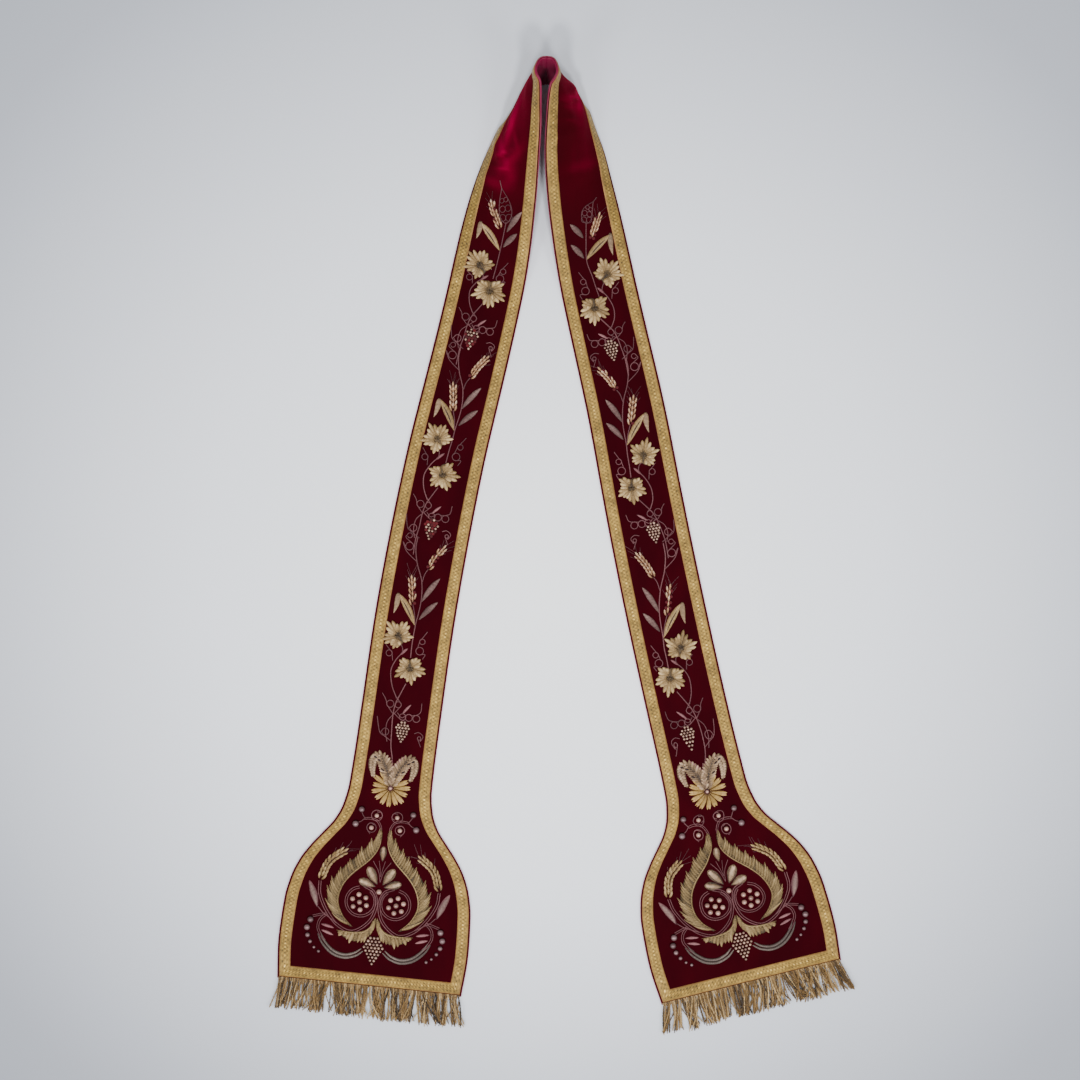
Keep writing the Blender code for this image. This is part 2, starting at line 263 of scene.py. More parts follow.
class Leg:
    """One leg as it lies. across runs to its outer edge, along from the centre back."""

    STEP = 0.001

    def __init__(self, name, side, lay, under, creases, painted_sheen, seed):
        self.name = name
        self.side = side
        self.creases = creases
        self.painted_sheen = painted_sheen
        self.seed = seed
        self.heading = smooth(lay, "heading")
        self.tilt = smooth(lay, "tilt")
        self.bow = smooth(lay, "bow")
        self.under = smooth(under, "degrees")
        self.shift = np.zeros(2)
        self.path_along = np.arange(0, LEG_LENGTH + FRINGE_LENGTH + self.STEP, self.STEP)
        tilt, rate = self.section(self.path_along)
        steepest = tilt + rate * half_width(self.path_along)
        leaning = STACK * np.maximum(0, -np.cos(steepest))
        self.path_z = (np.cos(tilt) - np.cos(steepest)) / rate + leaning
        climb = np.gradient(self.path_z, self.path_along)
        plan = np.sqrt(np.maximum(0, 1 - climb**2))
        heading = np.radians(self.heading(self.path_along))
        self.path_x = self.running_sum(side * np.sin(heading) * plan)
        self.path_y = self.running_sum(-np.cos(heading) * plan)

    def running_sum(self, rate):
        steps = (rate[1:] + rate[:-1]) / 2 * self.STEP
        return np.concatenate([[0], np.cumsum(steps)])

    def section(self, along):
        bow = np.radians(np.maximum(self.bow(along), 0.001))
        return np.radians(self.tilt(along)), bow / (2 * half_width(along))

    def surface(self, across, along):
        tilt, rate = self.section(along)
        slant = tilt + rate * across
        heading = np.radians(self.heading(along))
        out = (np.sin(slant) - np.sin(tilt)) / rate
        down = (np.cos(tilt) - np.cos(slant)) / rate
        lift, folded_out, folded_down = self.fold(across, along, tilt, rate)
        out, down = out + folded_out, down + folded_down - lift
        x = np.interp(along, self.path_along, self.path_x) + self.side * np.cos(heading) * out
        y = np.interp(along, self.path_along, self.path_y) + np.sin(heading) * out
        z = np.interp(along, self.path_along, self.path_z) - down
        return np.stack([x + self.shift[0], y + self.shift[1], z], -1)

    def fold(self, across, along, tilt, rate):
        """What the folded edge near the neck adds to a place's height, reach and drop."""
        start = half_width(along) - FOLDED
        turn = np.radians(self.under(along))
        slant = tilt + rate * start
        soft = 0.003

        def run(past):
            past = np.maximum(past, 0)
            return np.where(past < soft, past * past / (2 * soft), past - soft / 2)

        out, down = np.cos(slant + turn) - np.cos(slant), np.sin(slant + turn) - np.sin(slant)
        return run(FOLDED) * np.maximum(down, 0), run(across - start) * out, run(across - start) * down

    def ridges(self, across, along):
        """How far the creases push the cloth outwards. It is nothing at the edges."""
        total = patches(self.creases, across, along) * MM
        inside = np.clip((half_width(along) - np.abs(across)) / 0.016, 0, 1)
        return total * inside * inside * (3 - 2 * inside)

    def points(self, across, along, height):
        """Places at a height above the underside, measured square to the cloth."""
        across, along = np.broadcast_arrays(np.asarray(across, float), np.asarray(along, float))
        near = self.STEP / 2
        crosswise = self.surface(across + near, along) - self.surface(across - near, along)
        forward = self.surface(across, along + near) - self.surface(across, np.maximum(along - near, 0))
        normal = self.side * np.cross(forward, crosswise)
        normal /= np.linalg.norm(normal, axis=-1, keepdims=True)
        raised = np.asarray(height) + self.ridges(across, along)
        return self.surface(across, along) + normal * raised[..., None]

    def on_velvet(self, pattern):
        """World places of pattern points: across, above the hem, height over the velvet."""
        pattern = np.asarray(pattern, float)
        return self.points(pattern[:, 0], LEG_LENGTH - pattern[:, 1], VELVET_TOP + pattern[:, 2])


LEGS = (
    Leg("left", -1, LEFT_LAY, LEFT_UNDER, LEFT_CREASES, LEFT_PAINTED_SHEEN, 11),
    Leg("right", 1, RIGHT_LAY, RIGHT_UNDER, RIGHT_CREASES, RIGHT_PAINTED_SHEEN, 23),
)


def place_legs():
    """Puts the foot of the centre-back seam where the frame has it, from a fringe's corner."""
    for leg in LEGS:
        along = LEG_LENGTH + np.array([[HEM_GAP], [FRINGE_LENGTH]])
        reach = half_width(LEG_LENGTH) + np.array([[0], [FRINGE_SPLAY]])
        corners = leg.surface(reach * np.array([[-1.0, 1.0]]), along).reshape(-1, 3)
        low = np.array(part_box(f"fringe_{leg.name}")[0])
        leg.shift = low[:2] - corners.min(axis=0)[:2]


place_legs()


# ---------------------------------------------------------------- node trees
def add(tree, kind, inputs=(), **settings):
    """A node with its inputs set or linked, by name or number. Gives the node."""
    made = tree.nodes.new(kind)
    for key, value in settings.items():
        setattr(made, key, value)
    for key, value in dict(inputs).items():
        socket = made.inputs[key]
        if isinstance(value, bpy.types.NodeSocket):
            tree.links.new(value, socket)
        elif isinstance(value, bpy.types.Node):
            tree.links.new(value.outputs[0], socket)
        else:
            socket.default_value = value
    return made


def math_node(tree, operation, first, second=0.0, third=0.0, clamp=False):
    values = {0: first, 1: second, 2: third}
    return add(tree, "ShaderNodeMath", values, operation=operation, use_clamp=clamp)


def times(tree, first, second):
    return math_node(tree, "MULTIPLY", first, second)


def scaled(tree, value, factor, more, clamp=False):
    """value times factor plus more."""
    return math_node(tree, "MULTIPLY_ADD", value, factor, more, clamp=clamp)


def less(tree, first, second, clamp=False):
    return math_node(tree, "SUBTRACT", first, second, clamp=clamp)


def linear(colour):
    """Linear light from a 0 to 255 display colour."""
    parts = [c / 255 for c in colour]
    lit = [c / 12.92 if c <= 0.04045 else ((c + 0.055) / 1.055) ** 2.4 for c in parts]
    return (*lit, 1.0)


def ramp(tree, factor, stops):
    """A colour ramp from positions and display colours."""
    made = add(tree, "ShaderNodeValToRGB", {0: factor})
    while len(made.color_ramp.elements) < len(stops):
        made.color_ramp.elements.new(0.5)
    for element, (position, colour) in zip(made.color_ramp.elements, stops):
        element.position = position
        element.color = linear(colour)
    return made


def new_group(name, inputs, outputs):
    """A shader node group with named sockets and its two end nodes."""
    group = bpy.data.node_groups.new(name, "ShaderNodeTree")
    for label, kind, value in inputs:
        socket = group.interface.new_socket(label, in_out="INPUT", socket_type=kind)
        socket.default_value = value
    for label, kind in outputs:
        group.interface.new_socket(label, in_out="OUTPUT", socket_type=kind)
    return group, group.nodes.new("NodeGroupInput"), group.nodes.new("NodeGroupOutput")


FLOAT = "NodeSocketFloat"


def tarnish_group():
    """Uneven darkening of old metal thread: a broad stain and a fine speckle."""
    group, start, end = new_group(
        "tarnish",
        [("Stain size", FLOAT, 40.0), ("Speckle size", FLOAT, 700.0), ("Amount", FLOAT, 0.5)],
        [("Mask", FLOAT)],
    )
    place = add(group, "ShaderNodeTexCoord").outputs["Object"]
    broad = add(group, "ShaderNodeTexNoise", {"Vector": place, "Scale": start.outputs[0], "Detail": 3.0})
    fine = add(group, "ShaderNodeTexNoise", {"Vector": place, "Scale": start.outputs[1], "Detail": 2.0})
    half = times(group, broad.outputs[0], 0.5)
    both = scaled(group, fine.outputs[0], 0.5, half)
    spread = scaled(group, both, 3.2, -1.1, clamp=True)
    group.links.new(times(group, spread, start.outputs[2]).outputs[0], end.inputs[0])
    return group


def stitch_group():
    """Threads laid side by side, read from the piece's own UV: across in x, along in y."""
    group, start, end = new_group(
        "laid threads",
        [("Thread pitch", FLOAT, 0.0006), ("Slant", FLOAT, 0.4), ("Wander", FLOAT, 0.3)],
        [("Height", FLOAT), ("Thread", FLOAT)],
    )
    uv = add(group, "ShaderNodeUVMap", uv_map="lay")
    parts = add(group, "ShaderNodeSeparateXYZ", {0: uv.outputs[0]})
    wobble = add(group, "ShaderNodeTexNoise", {"Vector": uv.outputs[0], "Scale": 900.0, "Detail": 1.0})
    slanted = scaled(group, parts.outputs[0], start.outputs[1], parts.outputs[1])
    count = math_node(group, "DIVIDE", slanted, start.outputs[0])
    drifted = scaled(group, wobble.outputs[0], start.outputs[2], count)
    wave = math_node(group, "SINE", times(group, drifted, 2 * math.pi))
    group.links.new(scaled(group, wave, 0.5, 0.5).outputs[0], end.inputs[0])
    whole = math_node(group, "FLOOR", drifted)
    own = add(group, "ShaderNodeTexWhiteNoise", {"W": whole}, noise_dimensions="1D")
    group.links.new(own.outputs["Value"], end.inputs[1])
    return group


TARNISH = tarnish_group()
STITCH = stitch_group()


def new_material(name):
    made = bpy.data.materials.new(name)
    made.use_nodes = True
    return made, made.node_tree, made.node_tree.nodes["Principled BSDF"]


def wire(tree, shader, **sockets):
    """Links or sets the shader's sockets, named with underscores for spaces."""
    for label, value in sockets.items():
        socket = shader.inputs[label.replace("_", " ")]
        if isinstance(value, bpy.types.Node):
            tree.links.new(value.outputs[0], socket)
        elif isinstance(value, bpy.types.NodeSocket):
            tree.links.new(value, socket)
        else:
            socket.default_value = value


def bump(tree, height, distance, strength):
    return add(tree, "ShaderNodeBump", {"Height": height, "Distance": distance, "Strength": strength})


def tarnished(tree, **sizes):
    """The tarnish mask in a material, with its own sizes."""
    inputs = {label.replace("_", " "): value for label, value in sizes.items()}
    return add(tree, "ShaderNodeGroup", inputs, node_tree=TARNISH)


def thread_material(name, dark, middle, light, metallic=0.55, roughness=0.42, pitch=0.0006, stain=0.45):
    """Metal or silk thread: its tone attribute shades it, laid threads and tarnish break it up."""
    made, tree, shader = new_material(name)
    tone = add(tree, "ShaderNodeAttribute", attribute_name="tone")
    threads = add(tree, "ShaderNodeGroup", node_tree=STITCH)
    threads.inputs["Thread pitch"].default_value = pitch
    old = tarnished(tree, Amount=stain)
    own = scaled(tree, threads.outputs["Thread"], 0.24, -0.12)
    shaded = math_node(tree, "ADD", tone.outputs["Fac"], own)
    factor = less(tree, shaded, times(tree, old, 0.5), clamp=True)
    colour = ramp(tree, factor, [(0.0, dark), (0.5, middle), (1.0, light)])
    rough = scaled(tree, old, 0.25, roughness)
    raised = bump(tree, threads.outputs["Height"], 0.00018, 0.7)
    wire(tree, shader, Base_Color=colour, Roughness=rough, Metallic=metallic, Normal=raised)
    return made


def velvet_material():
    """Short silk pile: nearly black where it is looked into. Its colour is painted lighter crimson where
    the surface turns away from the camera, as painted sheen, and on the neck patches of the tone attribute,
    as painted highlights and shade.
    """
    made, tree, shader = new_material("wine velvet")
    place = add(tree, "ShaderNodeTexCoord").outputs["Object"]
    brushed = add(tree, "ShaderNodeMapping", {"Vector": place, "Scale": (1.0, 0.45, 1.0)})
    broad = add(tree, "ShaderNodeTexNoise", {"Vector": brushed, "Scale": 26.0, "Detail": 4.0})
    broad.inputs["Roughness"].default_value = 0.55
    fine = add(tree, "ShaderNodeTexNoise", {"Vector": place, "Scale": 1400.0, "Detail": 2.0})
    painted_edge_sheen = add(tree, "ShaderNodeLayerWeight", {"Blend": 0.35})
    # The tone attribute carries the painted highlights and painted shade of the neck patches.
    painted_sheen = add(tree, "ShaderNodeAttribute", attribute_name="tone")
    mottle_and_painted_sheen = scaled(tree, broad.outputs[0], 0.36, painted_sheen.outputs["Fac"])
    # Painted sheen: the colour turns lighter crimson where the surface faces away from the camera.
    edge = scaled(tree, painted_edge_sheen.outputs["Facing"], 0.45, mottle_and_painted_sheen)
    speck = scaled(tree, fine.outputs[0], 0.10, edge)
    factor = less(tree, speck, 0.20, clamp=True)
    stops = [(0.0, (41, 1, 7)), (0.25, (56, 1, 10)), (0.6, (94, 1, 26)), (1.0, (148, 2, 54))]
    colour = ramp(tree, factor, stops)
    pile = bump(tree, fine.outputs[0], 0.00035, 0.8)
    wire(tree, shader, Base_Color=colour, Roughness=0.9, Normal=pile)
    wire(tree, shader, Specular_IOR_Level=0.03, Sheen_Weight=0.10, Sheen_Roughness=0.35)
    shader.inputs["Sheen Tint"].default_value = linear((176, 6, 46))
    return made


def lining_material():
    """Crimson silk: a fine plain weave with a soft gloss."""
    made, tree, shader = new_material("crimson silk lining")
    place = add(tree, "ShaderNodeTexCoord").outputs["Object"]
    grain = add(tree, "ShaderNodeMapping", {"Vector": place, "Scale": (2600.0, 900.0, 900.0)})
    weave = add(tree, "ShaderNodeTexNoise", {"Vector": grain, "Scale": 1.0, "Detail": 2.0})
    broad = add(tree, "ShaderNodeTexNoise", {"Vector": place, "Scale": 22.0, "Detail": 3.0})
    factor = scaled(tree, weave.outputs[0], 0.4, times(tree, broad.outputs[0], 0.6))
    colour = ramp(tree, factor, [(0.25, (96, 8, 40)), (0.55, (122, 14, 56)), (0.8, (146, 30, 76))])
    wire(tree, shader, Base_Color=colour, Roughness=0.46, Normal=bump(tree, weave.outputs[0], 0.0001, 0.5))
    wire(tree, shader, Specular_IOR_Level=0.3, Sheen_Weight=0.15, Sheen_Roughness=0.4)
    shader.inputs["Sheen Tint"].default_value = linear((200, 60, 110))
    return made


def galloon_group():
    """The galloon's figure from its UV: bright dots in a row, a zigzag each side, ribbed edges."""
    group, start, end = new_group(
        "galloon figure",
        [("Pitch", FLOAT, GALLOON_PITCH)],
        [("Dot", FLOAT), ("Gap", FLOAT), ("Edge", FLOAT), ("Weave", FLOAT)],
    )
    uv = add(group, "ShaderNodeUVMap", uv_map="lay")
    parts = add(group, "ShaderNodeSeparateXYZ", {0: uv.outputs[0]})
    across = math_node(group, "ABSOLUTE", parts.outputs[0])
    steps = math_node(group, "DIVIDE", parts.outputs[1], start.outputs["Pitch"])
    phase = less(group, math_node(group, "FRACT", steps), 0.5)
    away = math_node(group, "ABSOLUTE", phase)

    def spot(centre, reach, middle, long):
        """A soft spot: its distance off the braid's line and along one pitch, and its two radii."""
        side = math_node(group, "DIVIDE", less(group, across, centre), reach)
        down = math_node(group, "DIVIDE", less(group, away, middle), long)
        square = math_node(group, "POWER", math_node(group, "ABSOLUTE", side), 2.0)
        both = scaled(group, down, down, square)
        return less(group, 1.4, times(group, both, 1.2), clamp=True)

    whole = math_node(group, "FLOOR", steps)
    row = add(group, "ShaderNodeTexWhiteNoise", {"W": whole}, noise_dimensions="1D")
    strength = scaled(group, row.outputs["Value"], 0.7, 0.3)
    side_row = times(group, spot(0.0031, 0.0007, 0.5, 0.25), 0.30)
    middle_row = times(group, spot(0.0, 0.0012, 0.0, 0.27), strength)
    bright = math_node(group, "MAXIMUM", middle_row, side_row)
    gap_row = times(group, spot(0.0027, 0.0009, 0.0, 0.3), less(group, 1.15, strength))
    dark = math_node(group, "MAXIMUM", spot(0.0, 0.0008, 0.5, 0.15), gap_row)
    ribs = math_node(group, "SINE", times(group, parts.outputs[1], 2 * math.pi / 0.0008))
    warp = math_node(group, "SINE", times(group, parts.outputs[0], 2 * math.pi / 0.0011))
    group.links.new(bright.outputs[0], end.inputs["Dot"])
    group.links.new(dark.outputs[0], end.inputs["Gap"])
    edge = scaled(group, across, 1250.0, -6.2, clamp=True)
    group.links.new(edge.outputs[0], end.inputs["Edge"])
    group.links.new(times(group, ribs, warp).outputs[0], end.inputs["Weave"])
    return group


def braid_material():
    """Woven gold galloon with an edge thread of rosy silk."""
    made, tree, shader = new_material("gold galloon")
    figure = add(tree, "ShaderNodeGroup", node_tree=galloon_group())
    old = tarnished(tree, Stain_size=90.0, Speckle_size=420.0, Amount=0.9)
    # Partly the woven figure, partly painted light: the raised dots are painted lighter as highlights and
    # the sunk gaps painted darker as shade.
    level = scaled(tree, figure.outputs["Dot"], 0.46, 0.52)
    sunk_with_painted_shade = scaled(tree, figure.outputs["Gap"], -0.34, level)
    woven = scaled(tree, figure.outputs["Weave"], 0.09, sunk_with_painted_shade)
    factor = scaled(tree, old, -0.42, math_node(tree, "ADD", woven, 0.06), clamp=True)
    stops = [(0.0, (66, 50, 22)), (0.4, (136, 107, 44)), (0.7, (182, 146, 66)), (1.0, (240, 206, 122))]
    gold = ramp(tree, factor, stops)
    mixed = add(
        tree,
        "ShaderNodeMix",
        {"Factor": times(tree, figure.outputs["Edge"], 0.45), "B": linear((146, 92, 62))},
        data_type="RGBA",
    )
    tree.links.new(gold.outputs[0], mixed.inputs["A"])
    height = scaled(tree, figure.outputs["Weave"], 0.3, sunk_with_painted_shade)
    wire(tree, shader, Roughness=scaled(tree, old, 0.2, 0.36), Metallic=0.4)
    wire(tree, shader, Base_Color=mixed.outputs["Result"], Normal=bump(tree, height, 0.00035, 0.8))
    return made


def bead_material(name, dark, light, roughness, metallic, coat):
    made, tree, shader = new_material(name)
    tone = add(tree, "ShaderNodeAttribute", attribute_name="tone")
    old = tarnished(tree, Stain_size=160.0, Amount=0.5)
    factor = less(tree, tone.outputs["Fac"], times(tree, old, 0.4), clamp=True)
    wire(tree, shader, Base_Color=ramp(tree, factor, [(0.0, dark), (1.0, light)]), Metallic=metallic)
    wire(tree, shader, Roughness=scaled(tree, old, 0.2, roughness), Coat_Weight=coat)
    wire(tree, shader, Coat_Roughness=0.15)
    return made


VELVET = velvet_material()
LINING = lining_material()
BRAID = braid_material()
LEAF_GOLD = thread_material("beige gold silk", (46, 32, 18), (142, 114, 72), (216, 188, 140), 0.25)
DAISY_GOLD = thread_material("daisy gold silk", (84, 60, 24), (154, 122, 62), (204, 168, 118), 0.25)
ACANTHUS_GOLD = thread_material(
    "acanthus gold thread", (40, 30, 20), (120, 99, 64), (176, 150, 108), pitch=0.0007
)
BLADE_GREY = thread_material(
    "tarnished blade thread", (38, 24, 24), (94, 70, 66), (142, 116, 108), stain=0.6
)
SILVER = thread_material("grey silver thread", (40, 32, 32), (92, 80, 74), (140, 126, 116), 0.5)
STEM = thread_material("mauve stem cord", (50, 22, 28), (104, 62, 66), (142, 96, 98), 0.3, pitch=0.0009)
WHEAT = thread_material("wheat bullion", (70, 34, 26), (170, 130, 96), (236, 212, 188), 0.5, 0.3)
PALM = thread_material("faded palm silk", (44, 30, 22), (128, 103, 76), (198, 168, 138), 0.3)
FRINGE = thread_material("fringe metal cord", (40, 26, 10), (116, 87, 44), (184, 157, 112), 0.4, stain=0.5)
PEARL = bead_material("rose pearl", (88, 56, 50), (182, 142, 128), 0.25, 0.15, 0.6)
GRAPE = bead_material("grape bead", (78, 50, 44), (182, 148, 128), 0.26, 0.3, 0.4)
SPANGLE = bead_material("dull spangle", (58, 38, 40), (118, 90, 92), 0.38, 0.4, 0.1)
WORN_RED = bead_material("worn red silk", (52, 0, 5), (96, 0, 12), 0.9, 0.0, 0.0)


# ---------------------------------------------------------------- making pieces
def finish_piece(name, mesh, nodes=()):
    piece = bpy.data.objects.new(name, mesh)
    bpy.context.scene.collection.objects.link(piece)
    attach(piece, "root")
    if nodes:
        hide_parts(*nodes)
    return piece


def mesh_from(name, points, faces, materials, uv=None, tone=None, indices=None):
    """A mesh from points and faces, with the lay UV and the tone attribute where given."""
    mesh = bpy.data.meshes.new(name)
    mesh.from_pydata([tuple(p) for p in points], [], faces)
    for material in materials:
        mesh.materials.append(material)
    if indices is not None:
        mesh.polygons.foreach_set("material_index", indices)
    loops = np.empty(len(mesh.loops), np.int32)
    mesh.loops.foreach_get("vertex_index", loops)
    if uv is not None:
        layer = mesh.uv_layers.new(name="lay")
        layer.data.foreach_set("uv", np.asarray(uv, np.float32)[loops].ravel())
    if tone is not None:
        attribute = mesh.attributes.new("tone", "FLOAT", "POINT")
        attribute.data.foreach_set("value", np.asarray(tone, np.float32))
    mesh.shade_smooth()
    mesh.validate()
    return mesh


def strips(rows, columns, closed, flip):
    """Quads between rows of points that each hold the same number of columns."""
    faces = []
    last = columns if closed else columns - 1
    for i in range(rows - 1):
        for j in range(last):
            k = (j + 1) % columns
            quad = [i * columns + j, (i + 1) * columns + j, (i + 1) * columns + k, i * columns + k]
            faces.append(quad if not flip else quad[::-1])
    return faces


def rows_along(fine, coarse):
    """Distances from the centre back, close together at the neck and the bell."""
    neck = np.linspace(SEAM, 0.040, int(0.040 / (fine * 0.5)))
    bend = np.linspace(0.040, 0.260, int(0.220 / fine))[1:]
    strip = np.linspace(0.260, 0.820, int(0.560 / coarse))[1:]
    bell = np.linspace(0.820, LEG_LENGTH, int(0.230 / fine))[1:]
    return np.concatenate([neck, bend, strip, bell])


def cloth_panel(leg, kind, low, high, inset, columns, material):
    """A closed wall the shape of a leg, with its edge rolled over in a half round."""
    along = rows_along(0.0035, 0.008)
    wall = (high - low) / 2
    edge = half_width(along)[:, None] - inset - wall
    shares = np.linspace(-1, 1, columns + 1)[None, :]
    turns = np.radians(np.array([60.0, 30.0, 0.0, -30.0, -60.0]))[None, :]
    rolled_out = wall * np.cos(turns)
    across = [edge * shares, edge + rolled_out, edge * shares[:, ::-1], -edge - rolled_out]
    heights = [
        np.full_like(across[0], high),
        np.broadcast_to((low + high) / 2 + wall * np.sin(turns), across[1].shape),
        np.full_like(across[2], low),
        np.broadcast_to((low + high) / 2 - wall * np.sin(turns), across[3].shape),
    ]
    across, heights = np.hstack(across), np.hstack(heights)
    count = across.shape[1]
    places = leg.points(across, along[:, None], heights).reshape(-1, 3)
    flip = leg.side < 0
    faces = strips(len(along), count, True, flip)
    top = list(range(columns + 1))
    bottom = [columns + 1 + 5 + columns - k for k in top]
    caps = [[top[k], top[k + 1], bottom[k + 1], bottom[k]] for k in range(columns)]
    caps.append(list(range(columns, columns + 7)))
    caps.append([*range(2 * columns + 6, count), 0])
    base = (len(along) - 1) * count
    for cap in caps:
        faces.append(cap if not flip else cap[::-1])
        faces.append([base + c for c in (cap[::-1] if not flip else cap)])
    # The tone attribute gets the painted highlights and painted shade of the leg's neck patches.
    tone = np.clip(patches(leg.painted_sheen, across, along[:, None]), 0, 1).reshape(-1)
    rolled = {*range(columns, columns + 7), *range(2 * columns + 6, count), 0}
    # The rolled edge takes the brighter crimson lining material: partly the lining's edge, partly a painted
    # highlight where the edge catches the light.
    painted_edge_sheen = [all(c % count in rolled for c in face) for face in faces]
    name = f"{kind}_cloth_{leg.name}"
    mesh = mesh_from(name, places, faces, [material, LINING], tone=tone, indices=painted_edge_sheen)
    return finish_piece(name, mesh, [f"{kind}_{leg.name}"])


# ---------------------------------------------------------------- braid
def galloon_height(u, v):
    """Relief of the braid: u from -1 to 1 across it, v along it in metres."""
    phase = v / GALLOON_PITCH * 2 * math.pi
    middle = np.exp(-((u / 0.22) ** 2)) * (0.6 - 0.4 * np.cos(phase))
    selvedge = np.exp(-(((np.abs(u) - 0.80) / 0.12) ** 2)) * (0.7 + 0.3 * np.sin(phase * 2))
    return 0.8 * middle + 0.6 * selvedge


def braid_strip(leg, across_of, along_of, lengths):
    """A woven strip. across_of and along_of give its places from the inset and the length."""
    u = np.linspace(-1, 1, BRAID_COLUMNS + 1)
    v = lengths[:, None]
    inset = BRAID_MIDDLE + u[None, :] * BRAID_HALF
    relief = galloon_height(u[None, :] + 0 * v, v + 0 * u[None, :])
    crown = BRAID_WALL * (0.55 + 0.25 * np.sqrt(np.clip(1 - u**4, 0, 1)))[None, :]
    height = VELVET_TOP + crown + 0.00022 * relief
    height[:, [0, -1]] = VELVET_TOP - 0.0002
    across, along = across_of(inset, v), along_of(inset, v)
    places = leg.points(across, along, height).reshape(-1, 3)
    uv = np.stack(np.broadcast_arrays(u[None, :] * BRAID_HALF, v), -1).reshape(-1, 2)
    tone = (0.34 + 0.42 * relief).reshape(-1)
    return places, uv, tone


def braid_pieces(leg):
    """The galloon down both edges and along the hem, mitred at the corners, as one piece."""
    parts = []
    faces = []
    corner = BRAID_INSET[1]

    def weave(across_of, along_of, lengths, flip):
        start = sum(len(part[0]) for part in parts)
        quads = strips(len(lengths), BRAID_COLUMNS + 1, False, flip)
        faces.extend([start + c for c in quad] for quad in quads)
        parts.append(braid_strip(leg, across_of, along_of, lengths))

    def edge_along(inset, v):
        share = np.clip((v - (LEG_LENGTH - 2 * corner)) / corner, 0, 1)
        return v + share * (corner - inset)

    neck = np.linspace(SEAM, 0.05, 60)
    rest = np.arange(0.051, LEG_LENGTH - corner, 0.00100)
    lengths = np.concatenate([neck, rest, [LEG_LENGTH - corner]])
    for edge in (1, -1):
        def edge_across(inset, v, edge=edge):
            return edge * (half_width(edge_along(inset, v)) - inset)

        weave(edge_across, edge_along, lengths, (edge > 0) == (leg.side > 0))
    reach = float(half_width(LEG_LENGTH - 0.008))

    def hem_across(inset, v):
        return v / reach * (half_width(LEG_LENGTH - inset) - inset)

    def hem_along(inset, v):
        return LEG_LENGTH - inset + 0 * v

    weave(hem_across, hem_along, np.linspace(-reach, reach, 170), leg.side > 0)
    places, uvs, tones = zip(*parts)
    name = f"galloon_{leg.name}"
    mesh = mesh_from(name, np.vstack(places), faces, [BRAID], np.vstack(uvs), np.concatenate(tones))
    nodes = [f"braid_{edge}_{leg.name}" for edge in ("outer", "inner", "hem")]
    return finish_piece(name, mesh, nodes)


# ---------------------------------------------------------------- geometry node trees
def geometry_tree(name, inputs):
    tree = bpy.data.node_groups.new(name, "GeometryNodeTree")
    tree.interface.new_socket("Geometry", in_out="INPUT", socket_type="NodeSocketGeometry")
    for label, kind, value in inputs:
        socket = tree.interface.new_socket(label, in_out="INPUT", socket_type=kind)
        if value is not None:
            socket.default_value = value
    tree.interface.new_socket("Geometry", in_out="OUTPUT", socket_type="NodeSocketGeometry")
    return tree, tree.nodes.new("NodeGroupInput"), tree.nodes.new("NodeGroupOutput")


def named_float(tree, name):
    made = add(tree, "GeometryNodeInputNamedAttribute", {"Name": name}, data_type="FLOAT")
    return made.outputs["Attribute"]


def vector_math(tree, operation, **inputs):
    keys = {"first": 0, "second": 1, "scale": "Scale"}
    return add(tree, "ShaderNodeVectorMath", {keys[k]: v for k, v in inputs.items()}, operation=operation)


def end_tree(tree, geometry, start, end):
    realized = add(tree, "GeometryNodeRealizeInstances", {"Geometry": geometry})
    shaded = add(tree, "GeometryNodeSetShadeSmooth", {"Geometry": realized})
    paint = {"Geometry": shaded, "Material": start.outputs["Material"]}
    painted = add(tree, "GeometryNodeSetMaterial", paint)
    tree.links.new(painted.outputs[0], end.inputs[0])


def twisted_cord_tree():
    """Turns chains of edges into cords of two plies, wound round each other."""
    tree, start, end = geometry_tree(
        "twisted cord",
        [
            ("Twist pitch", FLOAT, 0.004),
            ("Sides", "NodeSocketInt", CORD_SIDES),
            ("Material", "NodeSocketMaterial", None),
        ],
    )
    lines = add(tree, "GeometryNodeMeshToCurve", {"Mesh": start.outputs["Geometry"]})
    radius = named_float(tree, "radius")
    run = add(tree, "GeometryNodeSplineParameter").outputs["Length"]
    turns = math_node(tree, "DIVIDE", run, start.outputs["Twist pitch"])
    normal = add(tree, "GeometryNodeInputNormal").outputs[0]
    tangent = add(tree, "GeometryNodeInputTangent").outputs[0]
    aside = vector_math(tree, "CROSS_PRODUCT", first=tangent, second=normal)
    around = {"Resolution": start.outputs["Sides"], "Radius": 1.0}
    ring = add(tree, "GeometryNodeCurvePrimitiveCircle", around)
    plies = []
    for ply in (0.0, 0.5):
        angle = times(tree, math_node(tree, "ADD", turns, ply), 2 * math.pi)
        up = vector_math(tree, "SCALE", first=normal, scale=math_node(tree, "COSINE", angle))
        out = vector_math(tree, "SCALE", first=aside, scale=math_node(tree, "SINE", angle))
        both = vector_math(tree, "ADD", first=up, second=out)
        offset = vector_math(tree, "SCALE", first=both, scale=times(tree, radius, 0.45))
        moved = add(tree, "GeometryNodeSetPosition", {"Geometry": lines, "Offset": offset})
        thin = times(tree, radius, 0.60)
        sized = add(tree, "GeometryNodeSetCurveRadius", {"Curve": moved, "Radius": thin})
        swept = {"Curve": sized, "Profile Curve": ring, "Fill Caps": True}
        tube = add(tree, "GeometryNodeCurveToMesh", swept)
        if "Scale" in tube.inputs:
            tree.links.new(thin.outputs[0], tube.inputs["Scale"])
        plies.append(tube)
    joined = tree.nodes.new("GeometryNodeJoinGeometry")
    for tube in plies:
        tree.links.new(tube.outputs[0], joined.inputs[0])
    end_tree(tree, joined, start, end)
    return tree


